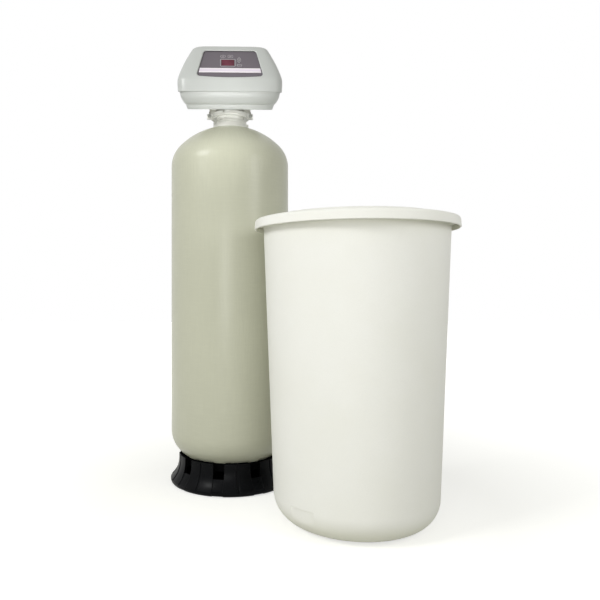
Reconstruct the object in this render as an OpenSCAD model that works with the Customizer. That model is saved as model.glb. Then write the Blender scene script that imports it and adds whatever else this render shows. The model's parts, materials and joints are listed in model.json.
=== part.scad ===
// Twin-tank water softener: a fibreglass resin tank with a motorised control valve, and a brine tank.
// Millimetres, +Z up, the front faces -Y. The origin is on the floor, under the centre of the whole set.

/* [Resin tank] */
// Outer diameter of the resin tank
tank_d = 336; // [300:1:380]
// Wall of the resin tank
tank_wall = 5; // [3:0.5:8]
// Height of the straight side between the two domes
tank_side_h = 750; // [500:5:1200]
// Height of each dome
dome_h = 117; // [100:1:130]
// Knuckle radius between the side and each dome
dome_knuckle_r = 80; // [60:1:90]
// Height of the lower dome's lowest point above the floor
tank_lift = 33; // [20:1:50]
// Height of the neck collar's top above the upper dome
neck_rise = 14; // [10:1:20]
// Outer diameter of the neck collar
neck_d = 96; // [90:1:110]
// Thread bore of the neck collar
neck_bore_d = 65; // [60:0.5:68]
// Outer diameter of the collar's sleeve, which lines the hole in the dome
neck_sleeve_d = 80; // [76:1:84]
// Length of the sleeve below the dome's top
neck_sleeve_l = 26; // [20:1:34]

/* [Tank base] */
// How much wider the base's foot is than the tank
base_over = 4; // [-16:1:54]
// How much narrower the base's top edge is than the tank
base_top_in = 44; // [36:1:56]
// Height of the base's top edge
base_h = 82; // [70:1:95]
// Thickness of the base's floor
base_floor = 5; // [3:0.5:8]
// Wall of the base
base_wall = 9; // [6:0.5:14]
// Radius of the base's hollow flare
flare_r = 80; // [60:1:110]
// Height at which the flare leaves the upright wall
flare_z = 70; // [62:1:78]
// Radius of the foot's rounded edge
foot_bead_r = 9; // [6:0.5:12]
// Number of windows round the base
base_windows = 9; // [6:1:12]
// Turn of the first window from the front, to the left
window_turn = 12; // [0:1:40]
// Width of a window
window_w = 30; // [16:1:36]
// Height of a window's sill above the floor
window_sill = 42; // [34:1:56]
// Height of the foot panels' lower edge above the floor
foot_panel_z = 12; // [8:1:20]
// Depth of the grooves and foot panels in the base
groove_depth = 2.5; // [1:0.5:3]
// Width of the groove between two windows
groove_w = 8; // [3:0.5:12]
// Height of the notches under the foot
foot_notch_h = 3; // [2:0.5:6]

/* [Tank filling] */
// Height of the gravel above the tank's lowest point
gravel_h = 90; // [70:5:140]
// Height of the resin's top above the tank's lowest point
resin_h = 640; // [400:10:760]
// Outer diameter of the riser tube
riser_d = 26.7; // [24:0.1:30]
// Wall of the riser tube
riser_wall = 2.8; // [2:0.1:4]
// Outer diameter of the lower strainer
strainer_d = 64; // [50:1:80]
// Height of the lower strainer
strainer_h = 52; // [40:1:66]
// Outer diameter of the upper strainer
top_strainer_d = 46; // [40:1:50]
// Height of the upper strainer
top_strainer_h = 44; // [30:1:60]
// Width of the strainers' slots
strainer_slot = 1.6; // [1:0.1:2]

/* [Neck clamp] */
// Outer diameter of the adapter's collar
adapter_d = 80; // [76:1:86]
// Height of the adapter's collar under the clamp
adapter_h = 11; // [8:1:16]
// Outer diameter of the two clamped flanges
flange_d = 88; // [86:1:94]
// Thickness of each clamped flange
flange_t = 3.5; // [2.5:0.5:5]
// Thickness of each lip of the clamp
clamp_lip = 3; // [2:0.5:4]
// Outer diameter of the clamp ring
clamp_d = 100; // [98:1:106]
// Reach of the clamp's ears from the tank's axis
ear_reach = 66; // [62:1:72]
// Thickness of each ear
ear_t = 7; // [5:0.5:9]
// Diameter of the clamp's bolts
clamp_bolt_d = 6; // [5:0.5:7]

/* [Valve body] */
// Width of the valve block
block_w = 200; // [190:1:210]
// Front face of the block ahead of the tank's axis
block_front = 30; // [28:1:34]
// Rear face of the block behind the tank's axis
block_rear = 45; // [43:1:50]
// Height of the block
block_h = 40; // [36:1:46]
// Height of the block's underside above the neck collar
block_rise = 45; // [42:1:50]
// Outer diameter of the inlet and outlet ports
port_d = 44; // [40:1:46]
// Bore of the inlet and outlet ports
port_bore_d = 26; // [22:1:28]
// Distance between the inlet and outlet axes
port_pitch = 76; // [74:1:80]
// Height of the port axes above the block's underside
port_rise = 17; // [16:0.5:20]
// Reach of the ports behind the tank's axis
port_reach = 128; // [120:1:134]
// Thread diameter at the end of each port
port_thread_d = 40; // [36:1:41]
// Length of thread on each port
port_thread_l = 16; // [12:1:20]
// Pipe bore of each union
pipe_d = 28.2; // [20:0.1:29]
// Depth of the pipe bore of each union
pipe_depth = 25; // [20:1:28]
// Thickness of the pipe stop in each union
pipe_stop = 3; // [2:0.5:5]
// Hose bore of the drain fitting
drain_bore_d = 9.6; // [8:0.1:11]
// Tube bore of the brine fitting
brine_bore_d = 9.6; // [8:0.1:11]
// Length of the drain and brine fittings
fitting_l = 46; // [36:1:60]

/* [Cam drive] */
// Number of valve flappers and cams
flappers = 5; // [3:1:5]
// Distance between flappers
flapper_pitch = 25; // [24:0.5:27]
// Width of a flapper
flapper_w = 16; // [12:0.5:18]
// Diameter of the flapper pin
flapper_pin_d = 4; // [3:0.5:5]
// Thickness of the valve's top plate
plate_t = 5; // [4:0.5:7]
// Diameter of the camshaft's journals
cam_shaft_d = 12; // [10:0.5:14]
// Radius of a cam's base circle
cam_base_r = 9; // [8.5:0.5:10]
// Reach of a cam's nose from the shaft's axis
cam_nose_r = 15; // [13:0.5:16]
// Height of the camshaft above the top plate
cam_rise = 28; // [27:0.5:34]
// Module of the drive gears
gear_module = 1.5; // [1.4:0.05:1.6]
// Teeth on the cam gear
cam_teeth = 36; // [34:1:38]
// Teeth on the motor pinion
pinion_teeth = 12; // [12:1:14]
// Width of the gears
gear_w = 8; // [5:0.5:10]
// Length of the motor's gear case
gearcase_l = 36; // [30:1:40]
// Length of the motor behind its gear case
motor_l = 44; // [30:1:50]

/* [Head cover] */
// Half width, front reach and rear reach of the tray's lower edge
lip_size = [120, 85, 96]; // [60:1:160]
// Half width, front reach and rear reach of the tray's step
step_size = [127.5, 97, 100]; // [60:1:160]
// Half width, front reach and rear reach of the tray under the seam
seam_size = [139.5, 116.5, 104]; // [60:1:160]
// Half width, front reach and rear reach of the cover's widest part
bulge_size = [145.5, 121, 109]; // [60:1:160]
// Half width, front reach and rear reach at the foot of the control panel
panel_foot_size = [143.5, 118, 107]; // [60:1:160]
// Half width, front reach and rear reach half way up the control panel
panel_mid_size = [130.5, 97.5, 100]; // [60:1:160]
// Half width, front reach and rear reach at the head of the control panel
panel_head_size = [112, 77, 86]; // [60:1:160]
// Half width, front reach and rear reach of the cover's flat top
crown_size = [82, 50, 60]; // [40:1:120]
// Height of the tray's lower edge above the neck collar, at the front
lip_rise = 15; // [12:1:18]
// Height of the tray's step above its lower edge
step_h = 12; // [8:1:18]
// Height of the seam above the tray's lower edge
seam_h = 38; // [34:1:46]
// Height of the widest part above the seam
bulge_h = 24; // [18:1:30]
// Height of the control panel's foot above the seam
panel_foot_h = 44; // [36:1:50]
// Height of the control panel from foot to head
panel_rise = 84; // [76:1:92]
// Height of the cover's top above the control panel's head
crown_h = 20; // [14:1:26]
// Rise of the seam and the lower edge towards the rear, per unit of length
seam_slope = 0.29; // [0.2:0.01:0.32]
// Roundness of the cover in plan, higher is squarer
plan_power = 8; // [4:1:10]
// Wall of the cover and the tray
shell_wall = 2.6; // [2:0.1:3]
// Overlap of the cover over the tray
shell_lap = 8; // [5:0.5:10]
// Width of the opening at the back of the tray
tray_gap_w = 140; // [130:1:150]

/* [Control panel] */
// Half width of the panel opening at its foot
panel_foot_w = 89; // [84:1:94]
// Half width of the panel opening at its head
panel_head_w = 73.5; // [68:0.5:78]
// Corner radius of the panel opening
panel_corner_r = 9; // [4:0.5:12]
// Bow of the panel opening's foot below its corners
panel_bow = 4; // [0:0.5:4.5]
// Thickness of the faceplate
faceplate_t = 2; // [1.5:0.1:3]
// Height of the pale strip across the faceplate
strip_h = 15.5; // [10:0.5:18]
// Distance from the panel's middle down to the strip's centre
strip_drop = 23.7; // [22:0.1:26]
// Width of the display window
display_w = 36; // [28:0.5:40]
// Height of the display window
display_h = 22; // [16:0.5:24]
// Travel of a button
button_travel = 0.8; // [0.4:0.1:1.2]

/* [Brine tank] */
// Outer diameter of the brine tank at its rim
brine_top_d = 440; // [420:1:460]
// Outer diameter that the tapered wall would have at the floor
brine_foot_d = 386; // [376:1:400]
// Height of the brine tank
brine_h = 710; // [600:5:900]
// Wall of the brine tank
brine_wall = 5; // [4:0.5:7]
// Radius of the bottom corner
brine_corner_r = 68; // [50:1:75]
// Width of the rim's flange
rim_w = 12; // [8:0.5:15]
// Depth of the rim's flange
rim_h = 9; // [6:0.5:12]
// Diameter of the lid
lid_d = 482; // [478:1:490]
// Depth of the lid's skirt
lid_skirt_h = 23.5; // [20:1:34]
// Wall of the lid
lid_wall = 4; // [3:0.5:5]
// Rise of the lid's raised middle
lid_crown_h = 8; // [4:0.5:12]
// Diameter of the lid's raised middle
lid_crown_d = 380; // [340:1:390]
// Width of the flat moulded into the bottom corner
flat_w = 64; // [50:1:74]
// Height of the flat's top edge above the floor
flat_h = 68; // [56:1:76]
// Depth of the flat at its top edge
flat_depth = 3.4; // [2:0.1:3.8]
// Diameter of the knock-out ring on the flat
knockout_d = 22; // [16:1:26]

/* [Brine fittings] */
// Outer diameter of the brine well
well_d = 90; // [80:1:92]
// Wall of the brine well
well_wall = 3; // [2:0.5:4]
// Distance of the brine well from the tank's axis
well_offset = 78; // [76:1:80]
// Gap between the top of the brine well and the tank's rim
well_drop = 45; // [42:1:60]
// Depth of the well cap's skirt
cap_skirt_h = 18; // [12:1:22]
// Height of the salt grid above the floor
grid_z = 122; // [100:1:140]
// Thickness of the salt grid
grid_t = 6; // [4:0.5:8]
// Diameter of the holes in the salt grid
grid_hole_d = 9; // [6:0.5:12]
// Diameter of the grid's legs
leg_d = 34; // [28:1:40]
// Diameter of the float
float_d = 48; // [40:1:50]
// Height of the float
float_h = 60; // [40:1:80]
// Diameter of the float rod
rod_d = 6; // [5:0.5:7]
// Depth of the safety valve below the brine tank's rim
safety_drop = 150; // [130:5:250]
// Depth of the overflow fitting below the brine tank's rim
overflow_drop = 110; // [90:5:290]
// Bore of the overflow fitting
overflow_bore_d = 12; // [10:0.5:13]

/* [Layout] */
// Distance from the resin tank's axis to the brine tank's axis, to the right
spacing_x = 300; // [290:1:400]
// Distance from the resin tank's axis to the brine tank's axis, to the front
spacing_y = 321; // [310:1:400]
// Gap left between pieces that sit on each other without moving
seat_gap = 0.3; // [0.2:0.05:0.4]
// Radial clearance of shafts and pins
run_gap = 0.06; // [0.03:0.01:0.1]

/* [Hidden] */
$fn = 64;
tiny = 0.01;
over = 1;
loft_fn = 48;

// Plan positions of the two axes, which centre the set on the origin
base_d = tank_d + base_over;
base_top_d = tank_d - base_top_in;
set_w = base_d / 2 + spacing_x + lid_d / 2;
set_l = lid_d / 2 + spacing_y + base_d / 2;
resin_at = [base_d / 2 - set_w / 2, set_l / 2 - base_d / 2, 0];
brine_at = resin_at + [spacing_x, -spacing_y, 0];

// Heights of the resin tank
tank_r = tank_d / 2;
low_tangent = tank_lift + dome_h;
high_tangent = low_tangent + tank_side_h;
tank_top = high_tangent + dome_h;
neck_z = tank_top + neck_rise;
neck_hole_r = neck_sleeve_d / 2 + seat_gap;
gravel_top = tank_lift + gravel_h;
resin_top = tank_lift + resin_h;
riser_foot = tank_lift + tank_wall + seat_gap;
strainer_wall = 3;
strainer_socket = 20;
foot_r = base_d / 2;
base_top_r = base_top_d / 2;
seat_depth = 24;

// Heights of the neck clamp and the valve
clamp_z = neck_z + adapter_h;
flange_z = clamp_z + clamp_lip;
body_flange_z = flange_z + flange_t;
column_z = body_flange_z + flange_t;
clamp_h = 2 * clamp_lip + 2 * flange_t;
clamp_split = 1;
tab_x = [12, 24];
tab_t = 2;
notch_x = [-20, -16.5];
ear_bolt_x = (clamp_d / 2 + ear_reach) / 2 + 1;
bolt_head_d = 10;
bolt_head_h = 4;
spigot_d = neck_bore_d - 2 * seat_gap;
adapter_bore_d = top_strainer_d + 4;
seal_t = 3.4;
seal_gap = 0.02;
block_z = neck_z + block_rise;
plate_z = block_z + block_h;
deck_z = plate_z + plate_t;
port_z = block_z + port_rise;
port_x = port_pitch / 2;
riser_top = block_z + 5;
passage_d = 12;
fitting_drop = 12;
fitting_wall = 2;
fitting_seat = 14;
injector_x = 70;
injector_r = 15;
injector_seat = 8;
screw_depth = 14;
riser_seal_z = block_z - 12;
riser_seal_slack = 0.1;
plate_out = [16, 17];
plate_front = block_front + plate_out[0];
plate_rear = block_rear + plate_out[1];
plate_left = block_w / 2 + 16;
plate_right = block_w / 2;

// Camshaft, gears and motor
cam_y = 8;
cam_z = deck_z + cam_rise;
bearing_x = block_w / 2 - 16;
bearing_t = 8;
bearing_half = 11;
bearing_cap_h = 10;
gear_x = block_w / 2 + 6;
cam_pitch_r = gear_module * cam_teeth / 2;
pinion_pitch_r = gear_module * pinion_teeth / 2;
gear_distance = cam_pitch_r + pinion_pitch_r + 0.15;
motor_y = cam_y + gear_distance;
motor_r = 16;
screw_d = 4;
screw_x = block_w / 2 - 6;
screw_y = [-block_front + 7, motor_y - motor_r - 2 * screw_d];
pinion_shaft_d = 6;
disc_r = 18;
disc_t = 2;
disc_x = -block_w / 2 - 5;
cam_t = 12;
cam_nose_w = 10;

// Flappers
function flapper_x(i) = (i - (flappers + 1) / 2) * flapper_pitch;
pin_y = -6;
pin_z = deck_z + 6;
hub_r = flapper_pin_d / 2 + 2.2;
seat_y = -22;
arm_z = deck_z + 4;
arm_t = 3;
ear_w = 4;
ear_half = 5;

// Head shells: each station is [height at the front, slope, half width, front, rear]
lip_z = neck_z + lip_rise;
seam_z = lip_z + seam_h;
bulge_z = seam_z + bulge_h;
panel_foot_z = seam_z + panel_foot_h;
panel_mid_z = panel_foot_z + panel_rise / 2;
panel_head_z = panel_foot_z + panel_rise;
crown_z = panel_head_z + crown_h;
function station(z, slope, size) = [z, slope, size[0], -size[1], size[2]];
cover_edge = bulge_size - [1, 1, 1];
shoulder_size = (panel_head_size + crown_size) / 2 + [7, 5.5, 5.5];
tray_stations = [
    station(lip_z, seam_slope, lip_size),
    station(lip_z + step_h - 2, seam_slope, (lip_size + step_size) / 2),
    station(lip_z + step_h, seam_slope, step_size),
    station(lip_z + (step_h + seam_h) / 2, seam_slope, (step_size + seam_size) / 2 + [3, 2, 1]),
    station(seam_z, seam_slope, seam_size),
    station(seam_z + shell_lap, seam_slope, seam_size)
];
cover_stations = [
    station(seam_z, seam_slope, cover_edge),
    station(bulge_z, seam_slope * 0.82, bulge_size),
    station(panel_foot_z, seam_slope * 0.69, panel_foot_size),
    station(panel_mid_z, seam_slope * 0.44, panel_mid_size),
    station(panel_head_z, seam_slope * 0.1, panel_head_size),
    station(panel_head_z + crown_h * 0.62, 0, shoulder_size),
    station(crown_z - 1.5, 0, crown_size + [9, 8, 8]),
    station(crown_z, 0, crown_size)
];
cover_steps = 3;
tray_hole_r = clamp_d / 2 + tab_t + 1;
tray_boss_d = 12;
wedge_x = 60;
wedge_l = 28;
wedge_h = 9;
tray_clear = 2;
tray_open_y = (block_z - tray_clear - lip_z - shell_wall) / seam_slope - lip_size[1];
panel_cut = 20;
grommet_off = 18;
grommet_x = -tray_gap_w / 2 - grommet_off;
grommet_y = step_size[2] + 2;
grommet_z = (lip_z + seam_z) / 2 + seam_slope * (step_size[1] + step_size[2]);
grommet_r = 6;
lead_r = 3;
rib_w = 3.6;
rib_left = 0.7;
rib_gap_x = panel_foot_w + 8;
rib_h = 3;

// Control panel frame: local X to the right, Y up the slope, Z out of the panel
panel_lean = panel_foot_size[1] - panel_head_size[1];
panel_tilt = atan2(panel_lean, panel_rise);
panel_l = sqrt(panel_lean * panel_lean + panel_rise * panel_rise);
panel_at = [0, -(panel_foot_size[1] + panel_head_size[1]) / 2, (panel_foot_z + panel_head_z) / 2];
plan_sag = bulge_size[1] * (1 - pow(1 - pow(panel_foot_w / panel_foot_size[0], plan_power), 1 / plan_power));
face_clear = 1.9;
face_n = -(shell_wall + plan_sag + face_clear);
face_back_n = face_n - faceplate_t;
face_margin = 2;
face_head = 4;
board_n = face_n - 9;
board_t = 1.6;
bracket_n = face_n - 17;
bracket_t = 2.5;
post_d = 6;
bracket_half_w = panel_head_w + 8;
bracket_half_l = panel_l / 2 - 3;
bracket_arm_w = 12;
board_w = 120;
board_l = 72;
display_at = [-6, 5];
button_gap = 0.3;
button_proud = 0.8;
button_flange_t = 1.2;
button_places = [[25, 20.5], [25, 8.5], [26, -5.5]];
strip_proud = 1.2;

// Brine tank: the wall leans out by brine_lean
brine_r = brine_top_d / 2;
brine_foot_r = brine_foot_d / 2;
brine_lean = atan2(brine_r - brine_foot_r, brine_h);
function wall_r(z) = brine_foot_r + z * tan(brine_lean);
corner_x = brine_foot_r + brine_corner_r * tan(brine_lean) - brine_corner_r / cos(brine_lean);
lid_z = brine_h + seat_gap;
lid_edge_r = 6;
lid_locate_t = 3;
lid_locate_gap = 6;
lid_locate_h = 9;
flat_turn = -138;
flat_lean = 8;
knockout_groove = 0.6;
well_turn = 45;
well_at = well_offset * [cos(well_turn), sin(well_turn), 0];
well_top = brine_h - well_drop;
cap_t = 3;
leg_turns = [140, 200, 262, 325];
leg_offset = corner_x - leg_d / 2 - 6;
grid_r = wall_r(grid_z) - brine_wall - 2.5;
grid_pitch = 24;
rod_off = 9;
pickup_stem_z = 20;
pickup_bore_z = 30;
meter_y = 15;
meter_axle_l = 24;
turbine_y = 20;
turbine_l = 14;
tray_boss_in = [20, 10];
strainer_ends = [6, 18];
stub_d = brine_bore_d + 4.4;
stub_l = 24;
stub_socket = 20;
stub_bore_x = 14;
pickup_d = 10;
pickup_foot_r = 24;
pickup_foot_h = 45;
safety_z = brine_h - safety_drop;
stub_end = wall_r(safety_z) + stub_l - well_offset;
safety_block = [44, 32, 36];
safety_block_drop = 22;
pickup_seat = 18;
rod_above = 70;
rod_top = safety_z + rod_above;
rod_foot = brine_wall + 6;
float_z = 300;
overflow_z = brine_h - overflow_drop;
overflow_turn = 100;
overflow_wall = 2;
overflow_leg_x = 24;
overflow_leg_l = 42;
overflow_hose_l = 31;
overflow_stop = [5, 3.5];
wall_cut = 20;

FLAPPER_NODES = [for (i = [1:flappers]) str("flapper_", i)];

// Half outline of a domed tank, drawn this far outside its surface
module domed_outline(grow) {
    r = tank_r + grow;
    knuckle = dome_knuckle_r + grow;
    inset = tank_r - dome_knuckle_r;
    crown_r = (inset * inset + dome_h * dome_h - dome_knuckle_r * dome_knuckle_r)
        / (2 * (dome_h - dome_knuckle_r));
    crown = crown_r + grow;
    reach = crown_r - dome_h;
    for (side = [0, 1]) {
        z = side == 0 ? low_tangent : high_tangent;
        sign = side == 0 ? -1 : 1;
        translate([inset, z]) circle(r = knuckle);
        intersection() {
            translate([0, z - sign * reach]) circle(r = crown);
            polygon([
                [0, z - sign * reach],
                [0, z + sign * 2 * crown],
                [inset / reach * 2 * crown, z + sign * 2 * crown],
                [inset, z]
            ]);
        }
    }
    polygon([
        [0, low_tangent + reach],
        [inset, low_tangent],
        [r, low_tangent],
        [r, high_tangent],
        [inset, high_tangent],
        [0, high_tangent - reach]
    ]);
}

// Solid of a domed tank, drawn this far outside its surface
module domed_solid(grow) {
    rotate_extrude() intersection() {
        domed_outline(grow);
        translate([0, 0]) square([2 * tank_d, neck_z + tank_d]);
    }
}

// Ring of given radii between two heights
module ring(outer_r, inner_r, z0, z1) {
    difference() {
        translate([0, 0, z0]) cylinder(r = outer_r, h = z1 - z0);
        translate([0, 0, z0 - over]) cylinder(r = inner_r, h = z1 - z0 + 2 * over);
    }
}

// Cylinder along X, from x0 to x1, through [y, z]
module rod_x(r, x0, x1, y, z) {
    translate([x0, y, z]) rotate([0, 90, 0]) cylinder(r = r, h = x1 - x0);
}

// Cylinder along Y, from y0 to y1, through [x, z]
module rod_y(r, y0, y1, x, z) {
    translate([x, y0, z]) rotate([-90, 0, 0]) cylinder(r = r, h = y1 - y0);
}

// Box given by its two corners
module block(low, high) {
    translate(low) cube(high - low);
}

// Half outline of the base's outside
module base_outline() {
    difference() {
        union() {
            square([foot_r - foot_bead_r, base_h]);
            translate([0, foot_bead_r]) square([foot_r, base_h - foot_bead_r]);
            translate([foot_r - foot_bead_r, foot_bead_r]) circle(r = foot_bead_r);
        }
        translate([base_top_r + flare_r, flare_z]) circle(r = flare_r);
        translate([base_top_r, flare_z]) square([foot_r, base_h]);
    }
}

// Skin of the base between two heights, as deep as a groove, for a cut of this width
module base_skin(width, z0, z1) {
    intersection() {
        rotate_extrude() difference() {
            translate([base_top_r - base_wall / 2, z0]) square([foot_r, z1 - z0]);
            translate([-groove_depth, 0]) base_outline();
            square([base_top_r - groove_depth, 2 * base_h]);
        }
        translate([0, -width / 2, 0]) cube([2 * foot_r, width, 2 * base_h]);
    }
}

// Black moulded boot that the tank stands in
module tank_base() {
    turn = 360 / base_windows;
    hollow_r = foot_r - foot_bead_r - base_wall;
    seat_z = base_h - seat_depth;
    color([0.06, 0.065, 0.07])
    difference() {
        rotate_extrude() difference() {
            base_outline();
            polygon([
                [0, base_floor],
                [hollow_r, base_floor],
                [hollow_r, foot_panel_z],
                [base_top_r - base_wall, window_sill - base_floor],
                [base_top_r - base_wall, seat_z],
                [0, seat_z]
            ]);
        }
        domed_solid(seat_gap);
        for (i = [0:base_windows - 1]) rotate(i * turn - window_turn - 90) {
            translate([base_top_r - 2 * base_wall, -window_w / 2, window_sill])
                cube([foot_r, window_w, base_h]);
            base_skin(window_w, foot_panel_z, window_sill + over);
            translate([foot_r - 2 * base_wall, -window_w / 2, -over])
                cube([foot_r, window_w, foot_notch_h + over]);
        }
        for (i = [0:base_windows - 1]) rotate((i + 0.5) * turn - window_turn - 90)
            base_skin(groove_w, foot_panel_z, base_h + over);
    }
}

// Wound fibreglass pressure tank
module resin_tank() {
    color([0.76, 0.76, 0.69])
    difference() {
        domed_solid(0);
        domed_solid(-tank_wall);
        translate([0, 0, high_tangent]) cylinder(r = neck_hole_r, h = 2 * dome_h);
    }
}

// Threaded collar set in the top dome
module neck_collar() {
    color([0.93, 0.93, 0.9])
    difference() {
        union() {
            difference() {
                translate([0, 0, tank_top - neck_sleeve_l])
                    cylinder(r = neck_d / 2, h = neck_rise + neck_sleeve_l);
                domed_solid(seat_gap);
            }
            translate([0, 0, tank_top - neck_sleeve_l])
                cylinder(r = neck_sleeve_d / 2, h = neck_sleeve_l + neck_rise);
        }
        translate([0, 0, tank_top - neck_sleeve_l - over])
            cylinder(r = neck_bore_d / 2, h = neck_sleeve_l + neck_rise + 2 * over);
    }
}

// Part of the tank's inside between two heights, round the riser tube
module tank_fill(z0, z1) {
    difference() {
        intersection() {
            domed_solid(-tank_wall - seat_gap);
            translate([0, 0, z0]) cylinder(r = tank_d, h = z1 - z0);
        }
        translate([0, 0, -over]) cylinder(r = riser_d / 2 + seat_gap, h = neck_z);
        translate([0, 0, -over]) cylinder(r = strainer_d / 2 + seat_gap,
            h = riser_foot + strainer_h + seat_gap + over);
    }
}

// Gravel underbed
module gravel_bed() {
    color([0.55, 0.5, 0.42]) tank_fill(0, gravel_top);
}

// Ion exchange resin
module resin_bed() {
    color([0.72, 0.5, 0.2]) tank_fill(gravel_top + seat_gap, resin_top);
}

// Tube from the lower strainer up to the valve
module riser_tube() {
    color([0.9, 0.9, 0.88])
        ring(riser_d / 2, riser_d / 2 - riser_wall, riser_foot + strainer_h - strainer_socket, riser_top);
}

// Slots round a strainer, cut through its wall
module strainer_slots(r, z0, z1) {
    count = floor((z1 - z0) / (3 * strainer_slot));
    for (i = [0:count - 1], turn = [0, 60, 120])
        rotate(turn) translate([-r * 0.36, -r - over, z0 + i * 3 * strainer_slot])
            cube([r * 0.72, 2 * r + 2 * over, strainer_slot]);
}

// Slotted basket at the foot of the riser tube
module lower_strainer() {
    r = strainer_d / 2;
    bore = riser_d / 2 + run_gap;
    socket_z = riser_foot + strainer_h - strainer_socket;
    floor_z = riser_foot + 2 * strainer_wall;
    color([0.88, 0.88, 0.84])
    difference() {
        intersection() {
            translate([0, 0, riser_foot]) cylinder(r = r, h = strainer_h);
            domed_solid(-tank_wall - seat_gap);
        }
        translate([0, 0, floor_z]) cylinder(r = r - strainer_wall, h = socket_z - strainer_wall - floor_z);
        translate([0, 0, floor_z]) cylinder(r = bore - riser_wall, h = strainer_h);
        translate([0, 0, socket_z]) cylinder(r = bore, h = strainer_h);
        strainer_slots(r, floor_z, socket_z - 2 * strainer_wall);
    }
}

// Slotted sleeve under the valve, round the riser tube
module upper_strainer() {
    r = top_strainer_d / 2;
    z1 = body_flange_z;
    z0 = z1 - top_strainer_h;
    color([0.88, 0.88, 0.84])
    difference() {
        union() {
            ring(r, r - strainer_wall, z0, z1 - seat_gap);
            ring(r, riser_d / 2 + seat_gap, z0, z0 + strainer_wall);
            ring(adapter_bore_d / 2 - seat_gap, r - strainer_wall, z1 - flange_t, z1 - seat_gap);
        }
        strainer_slots(r, z0 + strainer_ends[0], z1 - strainer_ends[1]);
    }
}

// Threaded adapter that screws into the neck collar
module tank_adapter() {
    color([0.94, 0.94, 0.91])
    difference() {
        union() {
            translate([0, 0, tank_top - neck_sleeve_l])
                cylinder(r = spigot_d / 2, h = neck_rise + neck_sleeve_l + adapter_h);
            translate([0, 0, neck_z + seal_gap]) cylinder(r = adapter_d / 2, h = adapter_h + clamp_lip);
            translate([0, 0, flange_z]) cylinder(r = flange_d / 2, h = flange_t - seal_gap);
        }
        translate([0, 0, tank_top - neck_sleeve_l - over])
            cylinder(r = adapter_bore_d / 2, h = neck_rise + neck_sleeve_l + adapter_h + clamp_h);
        ring(neck_bore_d / 2 + seal_t + 1.6, neck_bore_d / 2 + 0.6, neck_z - over, neck_z + seal_t + 0.2);
    }
}

// Rubber ring between the neck collar and the adapter
module neck_seal() {
    color([0.08, 0.08, 0.08])
    rotate_extrude()
        translate([neck_bore_d / 2 + 1 + seal_t / 2, neck_z + seal_t / 2 + seal_gap]) circle(d = seal_t);
}

// Rubber ring round the top of the riser tube
module riser_seal() {
    color([0.08, 0.08, 0.08])
    rotate_extrude()
        translate([riser_d / 2 + seal_t / 2 + seal_gap, riser_seal_z]) circle(d = seal_t);
}

// One half of the neck clamp: side -1 is the front half
module clamp_half(side) {
    half = clamp_d / 2;
    difference() {
        union() {
            difference() {
                translate([0, 0, clamp_z]) cylinder(r = half, h = clamp_h);
                translate([0, 0, flange_z - seat_gap / 2])
                    cylinder(r = flange_d / 2 + seat_gap, h = 2 * flange_t + seat_gap);
                translate([0, 0, clamp_z - over])
                    cylinder(r = adapter_d / 2 + seat_gap, h = clamp_h + 2 * over);
            }
            for (x = [-1, 1]) difference() {
                translate([x * (half + ear_reach - 6) / 2, side * (ear_t / 2), clamp_z + clamp_h / 2])
                    cube([ear_reach - half + 6, ear_t, clamp_h], center = true);
                translate([0, 0, clamp_z - over]) cylinder(r = half - 1, h = clamp_h + 2 * over);
            }
        }
        translate([-2 * half, side > 0 ? -4 * half + clamp_split / 2 : -clamp_split / 2, clamp_z - over])
            cube([4 * half, 4 * half, clamp_h + 2 * over]);
        for (x = [-1, 1])
            rod_y(clamp_bolt_d / 2 + run_gap, -half, half, x * ear_bolt_x, clamp_z + clamp_h / 2);
    }
}

// Front half of the neck clamp, with its sight notch and its release tab
module clamp_front() {
    half = clamp_d / 2;
    color([0.93, 0.93, 0.9])
    difference() {
        union() {
            clamp_half(-1);
            intersection() {
                ring(half + tab_t, half - over, clamp_z + clamp_lip, clamp_z + clamp_h);
                block([tab_x[0], -clamp_d, clamp_z], [tab_x[1], -half / 2, clamp_z + clamp_h]);
            }
        }
        block([notch_x[0], -clamp_d, clamp_z + clamp_h / 2],
            [notch_x[1], -half / 2, clamp_z + clamp_h + over]);
    }
}

// Rear half of the neck clamp
module clamp_rear() {
    color([0.93, 0.93, 0.9]) clamp_half(1);
}

// Bolts and nuts of the neck clamp
module clamp_bolts() {
    z = clamp_z + clamp_h / 2;
    color([0.75, 0.75, 0.76])
    for (x = [-1, 1]) {
        rod_y(clamp_bolt_d / 2, -ear_t - bolt_head_h, ear_t + bolt_head_h + 2, x * ear_bolt_x, z);
        rod_y(bolt_head_d / 2, -ear_t - bolt_head_h - seal_gap, -ear_t - seal_gap, x * ear_bolt_x, z);
        translate([x * ear_bolt_x, ear_t + seal_gap, z]) rotate([-90, 0, 0])
            cylinder(d = bolt_head_d * 1.1, h = bolt_head_h, $fn = 6);
    }
}

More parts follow.
